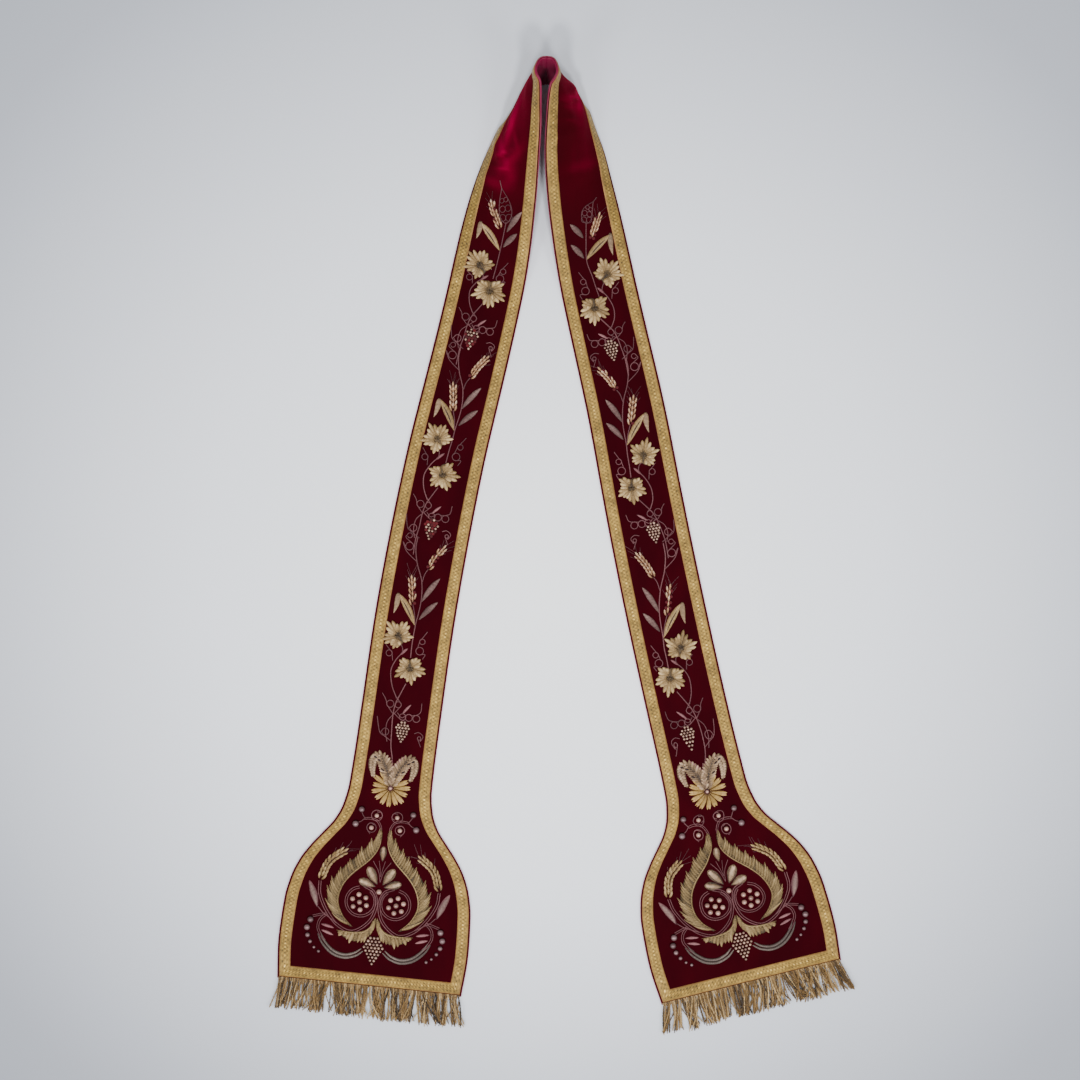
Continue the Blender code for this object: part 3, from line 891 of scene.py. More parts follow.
def bead_tree():
    """Sets a ball on every point, as large as the point's size, flattened towards the cloth."""
    tree, start, end = geometry_tree(
        "sewn beads",
        [
            ("Flatness", FLOAT, 1.0),
            ("Rings", "NodeSocketInt", BEAD_RINGS),
            ("Material", "NodeSocketMaterial", None),
        ],
    )
    points = add(tree, "GeometryNodeMeshToPoints", {"Mesh": start.outputs["Geometry"]})
    ball = add(tree, "GeometryNodeMeshIcoSphere", {"Radius": 1.0, "Subdivisions": start.outputs["Rings"]})
    size = named_float(tree, "size")
    flat = times(tree, size, start.outputs["Flatness"])
    scale = add(tree, "ShaderNodeCombineXYZ", {0: size, 1: size, 2: flat})
    placed = add(tree, "GeometryNodeInstanceOnPoints", {"Points": points, "Instance": ball, "Scale": scale})
    end_tree(tree, placed, start, end)
    return tree


CORD_TREE = twisted_cord_tree()
BEAD_TREE = bead_tree()


def grown(name, mesh, tree, values):
    """The plain mesh that a geometry node tree grows from a mesh."""
    holder = bpy.data.objects.new(name + "_seed", mesh)
    bpy.context.scene.collection.objects.link(holder)
    modifier = holder.modifiers.new("grow", "NODES")
    modifier.node_group = tree
    for item in tree.interface.items_tree:
        if item.item_type == "SOCKET" and item.in_out == "INPUT" and item.name in values:
            modifier[item.identifier] = values[item.name]
    graph = bpy.context.evaluated_depsgraph_get()
    made = bpy.data.meshes.new_from_object(holder.evaluated_get(graph))
    bpy.data.objects.remove(holder, do_unlink=True)
    made.name = name
    return made


def seeds(name, points, edges, **marks):
    """A mesh of bare points and edges whose points carry numbers."""
    mesh = bpy.data.meshes.new(name)
    mesh.from_pydata([tuple(p) for p in points], edges, [])
    for label, values in marks.items():
        attribute = mesh.attributes.new(label, "FLOAT", "POINT")
        attribute.data.foreach_set("value", np.array(values, np.float32))
    return mesh


def cord_mesh(name, chains, material, pitch):
    """chains: world points, radius and tone of each cord."""
    points, edges, radii, tones = [], [], [], []
    for places, radius, tone in chains:
        first = len(points)
        points.extend(places)
        edges.extend((first + k, first + k + 1) for k in range(len(places) - 1))
        radii.extend(np.broadcast_to(radius, len(places)))
        tones.extend(np.broadcast_to(tone, len(places)))
    mesh = seeds(name + "_lines", points, edges, radius=radii, tone=tones)
    return grown(name, mesh, CORD_TREE, {"Twist pitch": pitch, "Sides": CORD_SIDES, "Material": material})


def bead_mesh(name, places, sizes, tones, material, flatness):
    mesh = seeds(name + "_points", places, [], size=sizes, tone=tones)
    values = {"Flatness": flatness, "Rings": BEAD_RINGS, "Material": material}
    return grown(name, mesh, BEAD_TREE, values)


# ---------------------------------------------------------------- drawing in the pattern
def curve(points, spacing):
    """Points at even spacing on a smooth curve through given points, in metres."""
    p = np.asarray(points, float)
    p = np.vstack([2 * p[0] - p[1], p, 2 * p[-1] - p[-2]])
    fine = []
    for a, b, c, d in zip(p, p[1:], p[2:], p[3:]):
        square, cube = 2 * a - 5 * b + 4 * c - d, 3 * b - a - 3 * c + d
        for t in np.linspace(0, 1, 16, endpoint=False):
            fine.append(0.5 * (2 * b + (c - a) * t + square * t**2 + cube * t**3))
    fine = np.array([*fine, p[-2]])
    run = np.concatenate([[0], np.cumsum(np.linalg.norm(np.diff(fine, axis=0), axis=1))])
    count = max(3, int(round(run[-1] / spacing)) + 1)
    at = np.linspace(0, run[-1], count)
    return np.stack([np.interp(at, run, fine[:, 0]), np.interp(at, run, fine[:, 1])], -1)


def beside(path):
    """Unit steps to the right of a path, one for each of its points."""
    run = np.gradient(path, axis=0)
    run /= np.linalg.norm(run, axis=1, keepdims=True)
    return np.stack([run[:, 1], -run[:, 0]], -1)


Ring = namedtuple("Ring", "across above radius sense")


def mirrored(side, *places, above=0):
    """Places on one side of the leg's middle, raised by above. A ring turns the other way round."""
    route = []
    for place in places:
        if isinstance(place, Ring):
            route.append(Ring(side * place.across, place.above + above, place.radius, side * place.sense))
        else:
            route.append((side * place[0], place[1] + above))
    return route


def curled(steps):
    """A route through points and rings, going once round each ring, in millimetres."""
    route = []
    for i, step in enumerate(steps):
        if not isinstance(step, Ring):
            route.append(step)
            continue
        centre = np.array([step.across, step.above])
        before = np.array(route[-1]) - centre
        after = np.array(steps[i + 1][:2]) - centre if i + 1 < len(steps) else before
        first, last = (math.atan2(v[1], v[0]) for v in (before, after))
        travel = ((last - first) * step.sense) % (2 * math.pi) + 2 * math.pi
        if i + 1 == len(steps):
            travel = 2 * math.pi * 1.1
        for share in np.linspace(0.10, 0.92, int(travel * 1.7)):
            angle = first + step.sense * travel * share
            route.append(tuple(centre + step.radius * np.array([math.cos(angle), math.sin(angle)])))
    return np.array(route) * MM


class Work:
    """Embroidery on one leg, gathered by material in pattern space before it is laid down."""

    def __init__(self, leg):
        self.leg = leg
        self.chance = random.Random(leg.seed)
        self.drift = ()
        self.satin_parts = []
        self.cords = []
        self.beads = []

    def laid(self, pattern):
        """World places of pattern points on this leg, moved by its drift."""
        pattern = np.array(pattern, float)
        above = pattern[:, 1] / MM
        marks = [row.above for row in self.drift]
        pattern[:, 0] += np.interp(above, marks, [row.sideways for row in self.drift]) * MM
        pattern[:, 1] += np.interp(above, marks, [row.upward for row in self.drift]) * MM
        return self.leg.on_velvet(pattern)

    def satin(
        self, material, middle, width, height, tones=(0.35, 0.8), tip=0.6, root=0.6, belly=0.5, lift=0.0
    ):
        """A padded shape of laid threads along a middle line, widest at its belly."""
        count = len(middle)
        share = np.linspace(0, 1, count)
        rise = np.sin(np.clip(share / belly, 0.02, 1) * math.pi / 2) ** root
        fall = np.sin(np.clip((1 - share) / (1 - belly), 0.02, 1) * math.pi / 2) ** tip
        taper = rise * fall
        ragged = 1 + 0.05 * np.array([self.chance.uniform(-1, 1) for _ in range(count)])
        half = width / 2 * taper * ragged
        angles = np.linspace(math.pi, 0, SATIN_SIDES)
        u, dome = np.cos(angles), np.sin(angles) ** 0.8
        swell = np.sqrt(np.clip(taper, 0, 1))
        ridge = 0.00007 * (np.arange(count) % 2)[:, None] * dome[None, :]
        across = middle[:, None, :] + beside(middle)[:, None, :] * (half[:, None] * u[None, :])[..., None]
        heights = lift - 0.0002 + (height * swell)[:, None] * dome[None, :] + ridge
        points = np.concatenate([across, heights[..., None]], -1).reshape(-1, 3)
        length = np.concatenate([[0], np.cumsum(np.linalg.norm(np.diff(middle, axis=0), axis=1))])
        down = np.repeat(length[:, None], SATIN_SIDES, 1)
        uv = np.stack([half[:, None] * u[None, :], down], -1).reshape(-1, 2)
        tone = tones[0] + (tones[1] - tones[0]) * share + self.chance.uniform(-0.07, 0.07)
        faces = strips(count, SATIN_SIDES, True, False)
        faces.append(list(range(SATIN_SIDES)))
        faces.append(list(range(len(points) - 1, len(points) - 1 - SATIN_SIDES, -1)))
        self.satin_parts.append((material, points, faces, uv, np.repeat(tone, SATIN_SIDES)))

    def petal(self, material, start, end, width, height, bend=0.0, rows=12, **more):
        """One satin petal between two points in millimetres, bowed sideways by bend."""
        a, b = np.array(start, float), np.array(end, float)
        aside = np.array([b[1] - a[1], a[0] - b[0]])
        middle = (a + b) / 2 + aside * bend
        t = np.linspace(0, 1, rows)[:, None]
        path = (1 - t) ** 2 * a + 2 * t * (1 - t) * middle + t**2 * b
        self.satin(material, path * MM, width * MM, height * MM, **more)

    def cord(self, steps, radius, tone=0.5, lift=0.0, spacing=0.0009):
        """A couched cord through points and rings in millimetres, lying on the velvet."""
        path = curve(curled(steps), spacing)
        heights = np.full(len(path), (lift + radius * 0.55) * MM)
        places = np.column_stack([path, heights])
        shade = tone + self.chance.uniform(-0.12, 0.12)
        self.cords.append((places, radius * MM, shade))

    def bead(self, kind, across, above, size, lift=0.0, tone=None):
        shade = self.chance.uniform(0.35, 1.0) if tone is None else tone
        place = (across * MM, above * MM, (lift + size * 0.55) * MM)
        self.beads.append((kind, place, size * MM, shade))


def lay_satin(work, name, nodes):
    """Turns the gathered satin shapes into one mesh on the leg."""
    materials, points, faces, uvs, tones, indices = [], [], [], [], [], []
    start = 0
    for material, part, part_faces, uv, tone in work.satin_parts:
        if material not in materials:
            materials.append(material)
        points.append(part)
        uvs.append(uv)
        tones.append(tone)
        order = 1 if work.leg.side > 0 else -1
        faces += [[start + c for c in face][::order] for face in part_faces]
        indices += [materials.index(material)] * len(part_faces)
        start += len(part)
    places = work.laid(np.vstack(points))
    uv, tone = np.vstack(uvs), np.concatenate(tones)
    work.satin_parts = []
    finish_piece(name, mesh_from(name, places, faces, materials, uv, tone, indices), nodes)


def lay_cords(work, name):
    """Turns the gathered cords into one mesh of two-ply cords on the leg."""
    chains = [(work.laid(places), radius, tone) for places, radius, tone in work.cords]
    work.cords = []
    finish_piece(name, cord_mesh(name, chains, STEM, 0.0032))


BEAD_KINDS = {
    "pearl": (PEARL, 1.0),
    "grape": (GRAPE, 0.9),
    "spangle": (SPANGLE, 0.55),
    "worn": (WORN_RED, 0.22),
}


def lay_beads(work, name, nodes):
    """All the gathered beads as one mesh, each kind with its own material and flatness."""
    meshes = []
    for kind, (material, flatness) in BEAD_KINDS.items():
        chosen = [bead for bead in work.beads if bead[0] == kind]
        if chosen:
            places = work.laid([bead[1] for bead in chosen])
            sizes, tones = [bead[2] for bead in chosen], [bead[3] for bead in chosen]
            meshes.append(bead_mesh(f"{name}_{kind}", places, sizes, tones, material, flatness))
    work.beads = []
    parts = [bpy.data.objects.new(mesh.name, mesh) for mesh in meshes]
    for part in parts:
        bpy.context.scene.collection.objects.link(part)
    first = parts[0]
    with bpy.context.temp_override(active_object=first, object=first, selected_editable_objects=parts):
        bpy.ops.object.join()
    joined = first.data
    bpy.data.objects.remove(first, do_unlink=True)
    joined.name = name
    finish_piece(name, joined, nodes)


# ---------------------------------------------------------------- motifs, in millimetres
def heading_step(degrees):
    """A unit step in the pattern: 0 degrees is up the leg, 90 is towards its outer edge."""
    return np.array([math.sin(math.radians(degrees)), math.cos(math.radians(degrees))])


def vine_leaf(work, across, above, size, turn):
    """A vine leaf of satin fingers: five lobes parted by notches, over a darker ground that stands as
    painted shade between the fingers, with dark strokes of painted shade at its heart.
    """
    heart = np.array([across, above]) - 0.10 * size * heading_step(turn)
    lobes = ((0, 0.57), (60, 0.53), (-60, 0.53), (122, 0.44), (-122, 0.44))
    for angle, length in lobes:
        root = heart - heading_step(turn + angle) * size * 0.06
        tip = heart + heading_step(turn + angle) * size * length * 0.78
        # Dark ground petals: painted shade showing in the gaps between the fingers.
        work.petal(LEAF_GOLD, root, tip, size * 0.42, size * 0.02, tones=(0.12, 0.26), tip=0.4, root=0.4)
    fingers = ((-31, 0.66, 0.2), (31, 0.66, 0.2), (-16, 0.87, 0.2), (16, 0.87, 0.2), (0, 1.03, 0.10))
    for angle, length in lobes[::-1]:
        lobe = turn + angle + work.chance.uniform(-6, 6)
        reach = size * length * work.chance.uniform(0.94, 1.05)
        for spread, share, start in fingers:
            root = heart + heading_step(lobe + spread * 0.5) * reach * start
            tip = heart + heading_step(lobe + spread) * reach * share * work.chance.uniform(0.92, 1.06)
            # Fingers darker at the root, where they crowd together: painted shade.
            tones = (work.chance.uniform(0.18, 0.48), work.chance.uniform(0.60, 1.08))
            work.petal(
                LEAF_GOLD, root, tip, size * 0.128, size * 0.065, 0.05 * np.sign(spread),
                tones=tones, tip=0.55, root=0.7, belly=0.66, lift=0.0002,
            )
    # Dark strokes at the heart: painted shade of the leaf's centre.
    for angle in (0, 56, -56):
        shade_stroke = heart + heading_step(turn + angle) * size * 0.22
        work.petal(LEAF_GOLD, heart, shade_stroke, size * 0.04, size * 0.03, lift=0.0012, tones=(0.15, 0.3), rows=8)


def wheat_ear(work, path, pairs, size, awns=6, material=WHEAT, worn=0.0):
    """Plump grains in pairs up a bowed line of three points, a row on top, fine awns round them."""
    line = curve(np.array(path, float), 0.5)
    last = len(line) - 1

    def spot(share):
        here = line[int(share * last)]
        way = line[min(int(share * last) + 3, last)] - line[max(int(share * last) - 3, 0)]
        return here, way / np.linalg.norm(way)

    for k in range(awns):
        here, way = spot(0.45 + 0.5 * k / max(awns - 1, 1))
        side = 1 if k % 2 else -1
        out = math.degrees(math.atan2(way[0], way[1])) + side * work.chance.uniform(12, 38)
        tip = here + heading_step(out) * size * work.chance.uniform(1.5, 2.1)
        work.cord([tuple(here), tuple(here * 0.45 + tip * 0.55 + way * 0.3), tuple(tip)], 0.32, tone=0.3)
    for k in range(pairs):
        here, way = spot(k / pairs * 0.86)
        aside = np.array([way[1], -way[0]])
        for side in (-1, 1, 0):
            if side and work.chance.random() < worn:
                bare = here + aside * side * size * 0.26 + way * size * 0.3
                work.bead("worn", *bare, size * 0.24, tone=0.4)
                continue
            root = here + aside * side * size * 0.16 + way * size * (0.38 if side == 0 else 0)
            tip = root + way * size * 0.92 + aside * side * size * 0.30
            # Grains darker at the root, as painted shade between them, and light at the tip, as a painted
            # highlight.
            tones = (work.chance.uniform(0.15, 0.4), work.chance.uniform(0.75, 1.0))
            work.petal(
                material, root, tip, size * 0.34, size * 0.2, 0.10 * side,
                rows=9, tones=tones, tip=0.55, root=0.5, belly=0.45, lift=0.0003 if side == 0 else 0.0,
            )


def grape_bunch(work, across, above, counts, apart, size, worn=0.0):
    """Rows of beads, set in the hollows of the row above."""
    rows = len(counts)
    for r, count in enumerate(counts):
        for k in range(count):
            x = across + (k - (count - 1) / 2) * apart + work.chance.uniform(-0.15, 0.15)
            y = above + ((rows - 1) / 2 - r) * apart * 0.88 + work.chance.uniform(-0.15, 0.15)
            if work.chance.random() < worn:
                work.bead("worn", x, y, size * 1.3, tone=work.chance.uniform(0.1, 0.8))
            else:
                work.bead("grape", x, y, size * work.chance.uniform(0.92, 1.08), lift=0.4)


Unit = namedtuple("Unit", "stem bunch leaf_b leaf_a high worn_bunch worn_ears")
Crown = namedtuple("Crown", "stem blade fold ear chain loops blades worn")
LEFT_UNITS = (
    Unit(-2, (-4, 287), (-3.5, 357), (17, 396), 516, 0.0, (0.1, 0.5)),
    Unit(3, (0, 516), (-2, 577), (15.5, 619), 733, 0.6, (0.0, 0.15)),
    Unit(2, (4, 733), (-4.5, 789), (14, 820), 932, 0.55, (0.0, 0.0)),
)
RIGHT_UNITS = (
    Unit(0, (-6, 283), (-12, 350), (8, 385), 512, 0.0, (0.6, 0.1)),
    Unit(4, (5, 514), (-10.5, 566), (10.5, 605), 722, 0.0, (0.3, 0.35)),
    Unit(0, (-1, 723), (-10, 772), (14.5, 811), 922, 0.0, (0.0, 0.0)),
)
LEFT_CROWN = Crown(
    stem=((-5.5, 806), (-7, 824), (-8, 838), (-9, 855), (-10, 870)),
    blade=((-7, 838), (19, 865)),
    fold=((20, 867), (21.5, 847)),
    ear=((-4, 862), (6, 879), (12.5, 893)),
    chain=((-10, 868), (-7, 884), (-1, 900), (4, 915)),
    loops=7.6,
    blades=(((-10.5, 842), (-24, 859)), ((-12, 859), (-26.5, 883))),
    worn=0.2,
)
RIGHT_CROWN = Crown(
    stem=((-1.5, 786), (-4.5, 810), (-7.5, 828), (-4.5, 850), (-1, 870)),
    blade=((-8, 829), (24, 852)),
    fold=((25, 854), (23, 829)),
    ear=((1.5, 850), (9, 864), (17, 879)),
    chain=((-1, 868), (2, 880), (8, 888), (16, 896)),
    loops=6.4,
    blades=(((-10, 831), (-22, 848)), ((-7, 853), (-19.5, 870))),
    worn=0.3,
)


def folded_blade(work, root, tip, fold):
    """A long blade with a dark strip of painted shade down its middle, its tip folded over."""
    blade = {"rows": 18, "root": 0.7, "tip": 0.7, "belly": 0.55}
    a, b = np.array(root, float), np.array(tip, float)
    work.petal(LEAF_GOLD, a, b, 8.0, 1.5, -0.07, tones=(0.5, 0.72), **blade)
    # Dark middle strip: painted shade.
    shade_stroke = (a * 0.8 + b * 0.2, a * 0.2 + b * 0.8)
    work.petal(LEAF_GOLD, *shade_stroke, 1.7, 0.7, -0.07, lift=0.0011, tones=(0.0, 0.12))
    shape = {"rows": 12, "tip": 0.9, "root": 0.3, "belly": 0.3}
    work.petal(PALM, *fold, 6.6, 1.2, 0.10, tones=(0.45, 0.8), **shape)


def grey_blade(work, root, tip):
    """A long blade of tarnished thread."""
    shape = {"rows": 18, "root": 0.7, "tip": 0.7, "belly": 0.55}
    tones = (work.chance.uniform(0.4, 0.6), work.chance.uniform(0.75, 1.0))
    work.petal(BLADE_GREY, root, tip, 6.6, 1.3, 0.06, tones=tones, **shape)


# Fine cords of one repeat of the vine: the knot of loops above the grapes, then the side curls.
KNOT = (
    ((9, 20), Ring(12.5, 31, 4.0, 1), (18, 36), (22, 42)),
    ((8, 20), Ring(3.5, 31, 3.4, -1), (6, 40)),
    ((9, 22), (3, 17), Ring(-2, 18, 3.6, -1), (-6, 13)),
    ((10, 18), (15, 10), (16, -2), (13, -12)),
)
CURLS = (
    ((4, 22), (-1, 17), Ring(-9, 18, 3.9, 1), Ring(-17.5, 18, 3.9, 1), (-22, 26), (-23, 36)),
    ((-16, 1), (-21, 3), (-26, -1), (-23.5, -7), Ring(-22, -3.5, 2.0, -1), (-25, -13)),
    ((8, -11), (15, -7), (22, -3), (24.5, 4), (26.5, 15)),
    ((22, -3), Ring(16.5, -1, 3.9, 1)),
    ((-20, 86), (-22, 92), Ring(-15.5, 95, 4.3, 1), Ring(-17, 106, 3.1, 1), (-20.5, 118)),
    ((13, 80), Ring(18, 88, 3.4, -1), (23, 97)),
)


def strip_unit(work, unit, first, last):
    """One repeat of the vine up the strip, from one bunch of grapes to the next."""
    low, upper_leaf = unit.bunch[1], unit.leaf_a[1]
    marks = [-30, 0, 71, 111, 175, 232]
    between = upper_leaf + (unit.high - upper_leaf) * 0.53
    heights = [low - 30, low, unit.leaf_b[1], upper_leaf, between, unit.high]
    sway = [unit.stem, unit.stem, unit.leaf_b[0] + 8, unit.leaf_a[0] - 12.5, 0, 2]
    chance = work.chance

    def at(across, above):
        return (across + float(np.interp(above, marks, sway)), float(np.interp(above, marks, heights)))

    def at_all(*places):
        return [Ring(*at(p[0], p[1]), p[2], p[3]) if isinstance(p, Ring) else at(*p) for p in places]

    grape_bunch(work, unit.bunch[0], low + 1, (2, 4, 5, 4, 4, 3, 2, 1), 3.5, 1.42, worn=unit.worn_bunch)
    # Main stem, up to leaf B, out of it again and on to the next bunch.
    stem = {"radius": 1.05, "tone": 0.6}
    foot = ((4.5, -30), (8, -16), (9.5, 0)) if first else ((11, -30), (11.5, -12), (10, 2))
    work.cord(at_all(*foot, (9, 18), (6.5, 32), (1, 45), (-4, 56)), **stem)
    if not last:
        work.cord(at_all((-6.5, 86), (-6, 100), (-6, 112), (-5.5, 123)), **stem)
    # Branch round the outer side of leaf B to the stalk of leaf A.
    work.cord(at_all((5.6, 38), (11.5, 52), (13.5, 68), (10, 80), (5, 88), (0, 93)), 1.0, 0.65)
    work.petal(STEM, at(5.5, 87), at(-2.0, 96), 3.2, 1.2, 0.05, rows=8, tones=(0.5, 0.8))
    work.cord(at_all((3, 91), (4.5, 97), (9, 102)), 0.85, 0.55)
    vine_leaf(work, *unit.leaf_b, chance.uniform(36, 38), 196 + chance.uniform(-14, 14))
    vine_leaf(work, *unit.leaf_a, chance.uniform(35, 37), 40 + chance.uniform(-22, 22))
    # Knot of loops above the bunch, a bud, and curls on both sides.
    fine = {"radius": 0.78, "tone": 0.48}
    for route in KNOT:
        work.cord(at_all(*route), **fine)
    work.petal(STEM, at(-1.5, 21), at(-11, 33), 3.0, 1.1, 0.05, rows=8, tones=(0.6, 0.9))
    for route in CURLS:
        work.cord(at_all(*route), **fine)
    if last:
        return
    work.cord(at_all((-5.5, 123), (-5.6, 150), (-1, 173), (7, 192), (11, 208), (11, 222)), **stem)
    folded_blade(work, at(-5, 123), at(20, 155), (at(21.5, 156), at(21.5, 133)))
    grey_blade(work, at(-8, 130), at(-24, 153))
    grey_blade(work, at(-6, 150), at(-20.5, 180))
    # Wheat: one ear on the outer side, one on a short stalk on the inner side.
    work.cord(at_all((-4.5, 125), (-2, 135), (2.5, 146)), 0.9, 0.45)
    outer, inner = unit.worn_ears
    wheat_ear(work, [at(2.5, 145), at(6.5, 160), at(12, 180)], 5, 8.0, awns=9, worn=outer)
    work.cord(at_all((-1.5, 173), (-3, 182), (-6, 188)), 0.9, 0.45)
    wheat_ear(work, [at(-6, 188), at(-12, 202), at(-22, 219)], 6, 7.6, awns=7, worn=inner)
    curl = at_all((7.5, 194), (15, 199), (22, 205), (26.5, 214), Ring(18.5, 210, 4.4, -1), (24, 219))
    work.cord([*curl, Ring(*at(20, 222), 2.8, 1)], **fine)


def strip_crown(work, crown):
    """The top of the vine: a folded blade, an ear, two grey blades and a chain of loops."""
    work.cord(crown.stem, 0.95, 0.5)
    folded_blade(work, *crown.blade, crown.fold)
    for blade in crown.blades:
        grey_blade(work, *blade)
    chain(work, crown.chain, crown.loops)
    wheat_ear(work, crown.ear, 6, 7.6, awns=6, worn=crown.worn)


def chain(work, path, wide):
    """A tapering chain of open loops between two crossing cords that meet in a point."""
    line = curve(np.array(path, float), 0.5)
    aside = beside(line)
    share = np.linspace(0, 1, len(line))
    for side in (-1, 1):
        reach = side * wide * np.sin(np.clip(share * 1.25, 0, 1) ** 0.7 * math.pi)
        work.cord([tuple(p) for p in (line + aside * reach[:, None])[::4]], 0.7, 0.4)
        for k, (where, size) in enumerate(((0.14, 0.50), (0.34, 0.46), (0.54, 0.34))):
            here = int(where * (len(line) - 1))
            centre = line[here] + aside[here] * side * size * wide * 0.95
            work.cord([tuple(line[here]), Ring(*centre, size * wide, side)], 0.6, 0.35 + 0.05 * k)


def daisy(work, above):
    """Thirteen notched petals round a ringed pearl, open above where the palms rise."""
    centre = np.array([0.0, above])
    for k in range(13):
        way = 36 + k * 288 / 12 + work.chance.uniform(-2, 2)
        step, aside = heading_step(way), heading_step(way + 90)
        reach = 21.4 * work.chance.uniform(0.93, 1.05)
        for side in (-1, 1):
            root = centre + step * 2.5
            tip = centre + step * reach + aside * side * 1.35
            tones = (0.2, work.chance.uniform(0.75, 0.95))
            work.petal(DAISY_GOLD, root, tip, 3.7, 1.4, tones=tones, tip=0.5, root=0.9, belly=0.68)
    ring = [(2.6, above), (0, above + 2.6), (-2.6, above), (0, above - 2.6), (2.6, above)]
    work.cord(ring, 0.6, 0.3, lift=1.3)
    work.bead("pearl", 0, above, 1.9, lift=1.2, tone=1.0)


def palm(work, above, side):
    """A feathered leaf that rises from the daisy and folds its tip down on its outer side."""
    rising = mirrored(side, (1.5, 3), (4.5, 14), (9.5, 25), (16, 33.5), (21.5, 33.5), above=above)
    spine = curve(rising, 1.0)
    barb = {"rows": 9, "tip": 0.5}
    last = len(spine) - 1
    # Dark spine ground: painted shade that shows between the barbs.
    work.satin(PALM, spine * MM, 12.0 * MM, 0.8 * MM, tones=(0.1, 0.2), root=0.6, tip=0.5, belly=0.6)
    for k in range(3, last, 3):
        share = k / last
        way = spine[min(k + 2, last)] - spine[k - 2]
        way = way / np.linalg.norm(way)
        out = np.array([way[1], -way[0]]) * side
        length = 10.0 * math.sin(math.pi * (0.22 + 0.60 * share))
        for edge, reach in ((1, 0.8), (-1, 0.9)):
            root = spine[k] - way * 4.5
            tip = spine[k] + out * edge * length * reach + way * 1.5
            tones = (work.chance.uniform(0.1, 0.35), work.chance.uniform(0.55, 1.1))
            work.petal(PALM, root, tip, 3.6, 1.5, -0.12 * side * edge, tones=tones, belly=0.6, **barb)
    fold = curve(mirrored(side, (17.5, 37), (22.5, 32), (23.5, 22), (20.5, 9), above=above), 1.0)
    # Dark fold ground: painted shade between its barbs.
    work.satin(PALM, fold * MM, 10.0 * MM, 1.0 * MM, tones=(0.15, 0.35), root=0.35, tip=0.8, belly=0.4)
    for k in range(1, len(fold) - 4, 3):
        for edge in (1, -1):
            tip = fold[k + 4] + np.array([side * edge * 4.8 * (1 - 0.8 * k / len(fold)), -0.5])
            tones = (work.chance.uniform(0.3, 0.6), work.chance.uniform(0.7, 1.1))
            work.petal(PALM, fold[k], tip, 3.6, 1.5, 0.06 * side * edge, tones=tones, **barb)
    # Dark slits: painted shade.
    for slit in mirrored(side, (14.5, 28), (9.5, 18), (19, 31), above=above):
        end = (slit[0] + side * 4.4, slit[1] + 2.6)
        work.petal(BLADE_GREY, slit, end, 2.2, 0.5, lift=0.0014, rows=7, tones=(0, 0))


def feathered(work, near, far, flames, lead, width, tones, bow, jut, slits=True):
    """A leaf of slanted flames from its smooth edge to its jagged one, over a solid ground painted dark as
    shade between the flames, with dark slits of painted shade.
    """
    near, far = curve(near, 0.5), curve(far, 0.5)
    count = 40
    share = np.linspace(0, 1, count)
    inner = np.stack([np.interp(share, np.linspace(0, 1, len(near)), near[:, k]) for k in (0, 1)], -1)
    outer = np.stack([np.interp(share, np.linspace(0, 1, len(far)), far[:, k]) for k in (0, 1)], -1)
    wide = np.linalg.norm(outer - inner, axis=1) * 0.84 * MM + 0.0006
    ground = (inner * 0.55 + outer * 0.45) * MM
    # Painted shade: the ground is darker than the flames so the gaps between them look shaded.
    dark = tones[0] * 0.5
    work.satin(ACANTHUS_GOLD, ground, wide, 1.0 * MM, tones=(dark, dark), root=0.1, tip=0.1)
    flame = {"rows": 14, "tip": 0.7, "root": 0.35, "belly": 0.4}
    group = 0
    for k in range(flames):
        at = (k + 0.8) / (flames + 0.6)
        ahead = min(max(at - lead, 0), 1)
        a = inner[int(at * (count - 1))]
        b = outer[int(ahead * (count - 1))]
        way = (b - a) / (np.linalg.norm(b - a) + 1e-9)
        group = 0 if group > work.chance.choice((1, 2, 2, 3)) else group + 1
        long = jut * (1.0, 0.45, 0.1, -0.2, -0.35)[group] * work.chance.uniform(0.8, 1.2)
        # Flames darker at the root: painted shade.
        shades = (tones[0] + work.chance.uniform(-0.18, 0.12), tones[1] + 0.30 - 0.16 * group)
        work.petal(ACANTHUS_GOLD, a, b + way * long, width, 1.8, bow, tones=shades, **flame)
        # Dark slits: painted shade in the gaps.
        if slits and group == 0:
            slit, end = a * 0.45 + b * 0.55, b + way * (long - 0.6)
            work.petal(BLADE_GREY, slit, end, 1.0, 2.1, bow, rows=8, tones=(0.0, 0.1), lift=0.0001)
    work.satin(ACANTHUS_GOLD, inner * MM, width * 0.5 * MM, 1.9 * MM, tones=(0.85, 0.7), tip=0.5, root=0.5)


def acanthus(work, side):
    """The great leaf of the bell: a smooth inner edge and flames up its outer edge."""
    inner = ((4, 174), (5, 158), (14, 142.5), (32, 125), (42, 110), (45, 93), (38, 77), (26, 65.5))
    outer = ((5.5, 175), (12, 165), (23, 153), (36, 138), (50, 121.5), (57.5, 103), (53, 83), (29, 66.5))
    edges = (mirrored(side, *edge) for edge in (inner, outer))
    feathered(work, *edges, 38, 0.11, 4.2, (0.42, 0.66), 0.12 * side, 3.2)


def low_acanthus(work, side):
    """The small leaf under the roundels, sweeping out from the middle with hanging lobes."""
    upper = mirrored(side, (0.8, 78), (4, 69), (12, 61.5), (25, 59), (43, 60))
    lower = mirrored(side, (1.0, 74), (4, 60), (13, 50), (25, 49), (39, 57))
    feathered(work, upper, lower, 12, -0.14, 5.0, (0.55, 0.66), -0.10 * side, 3.4, slits=False)


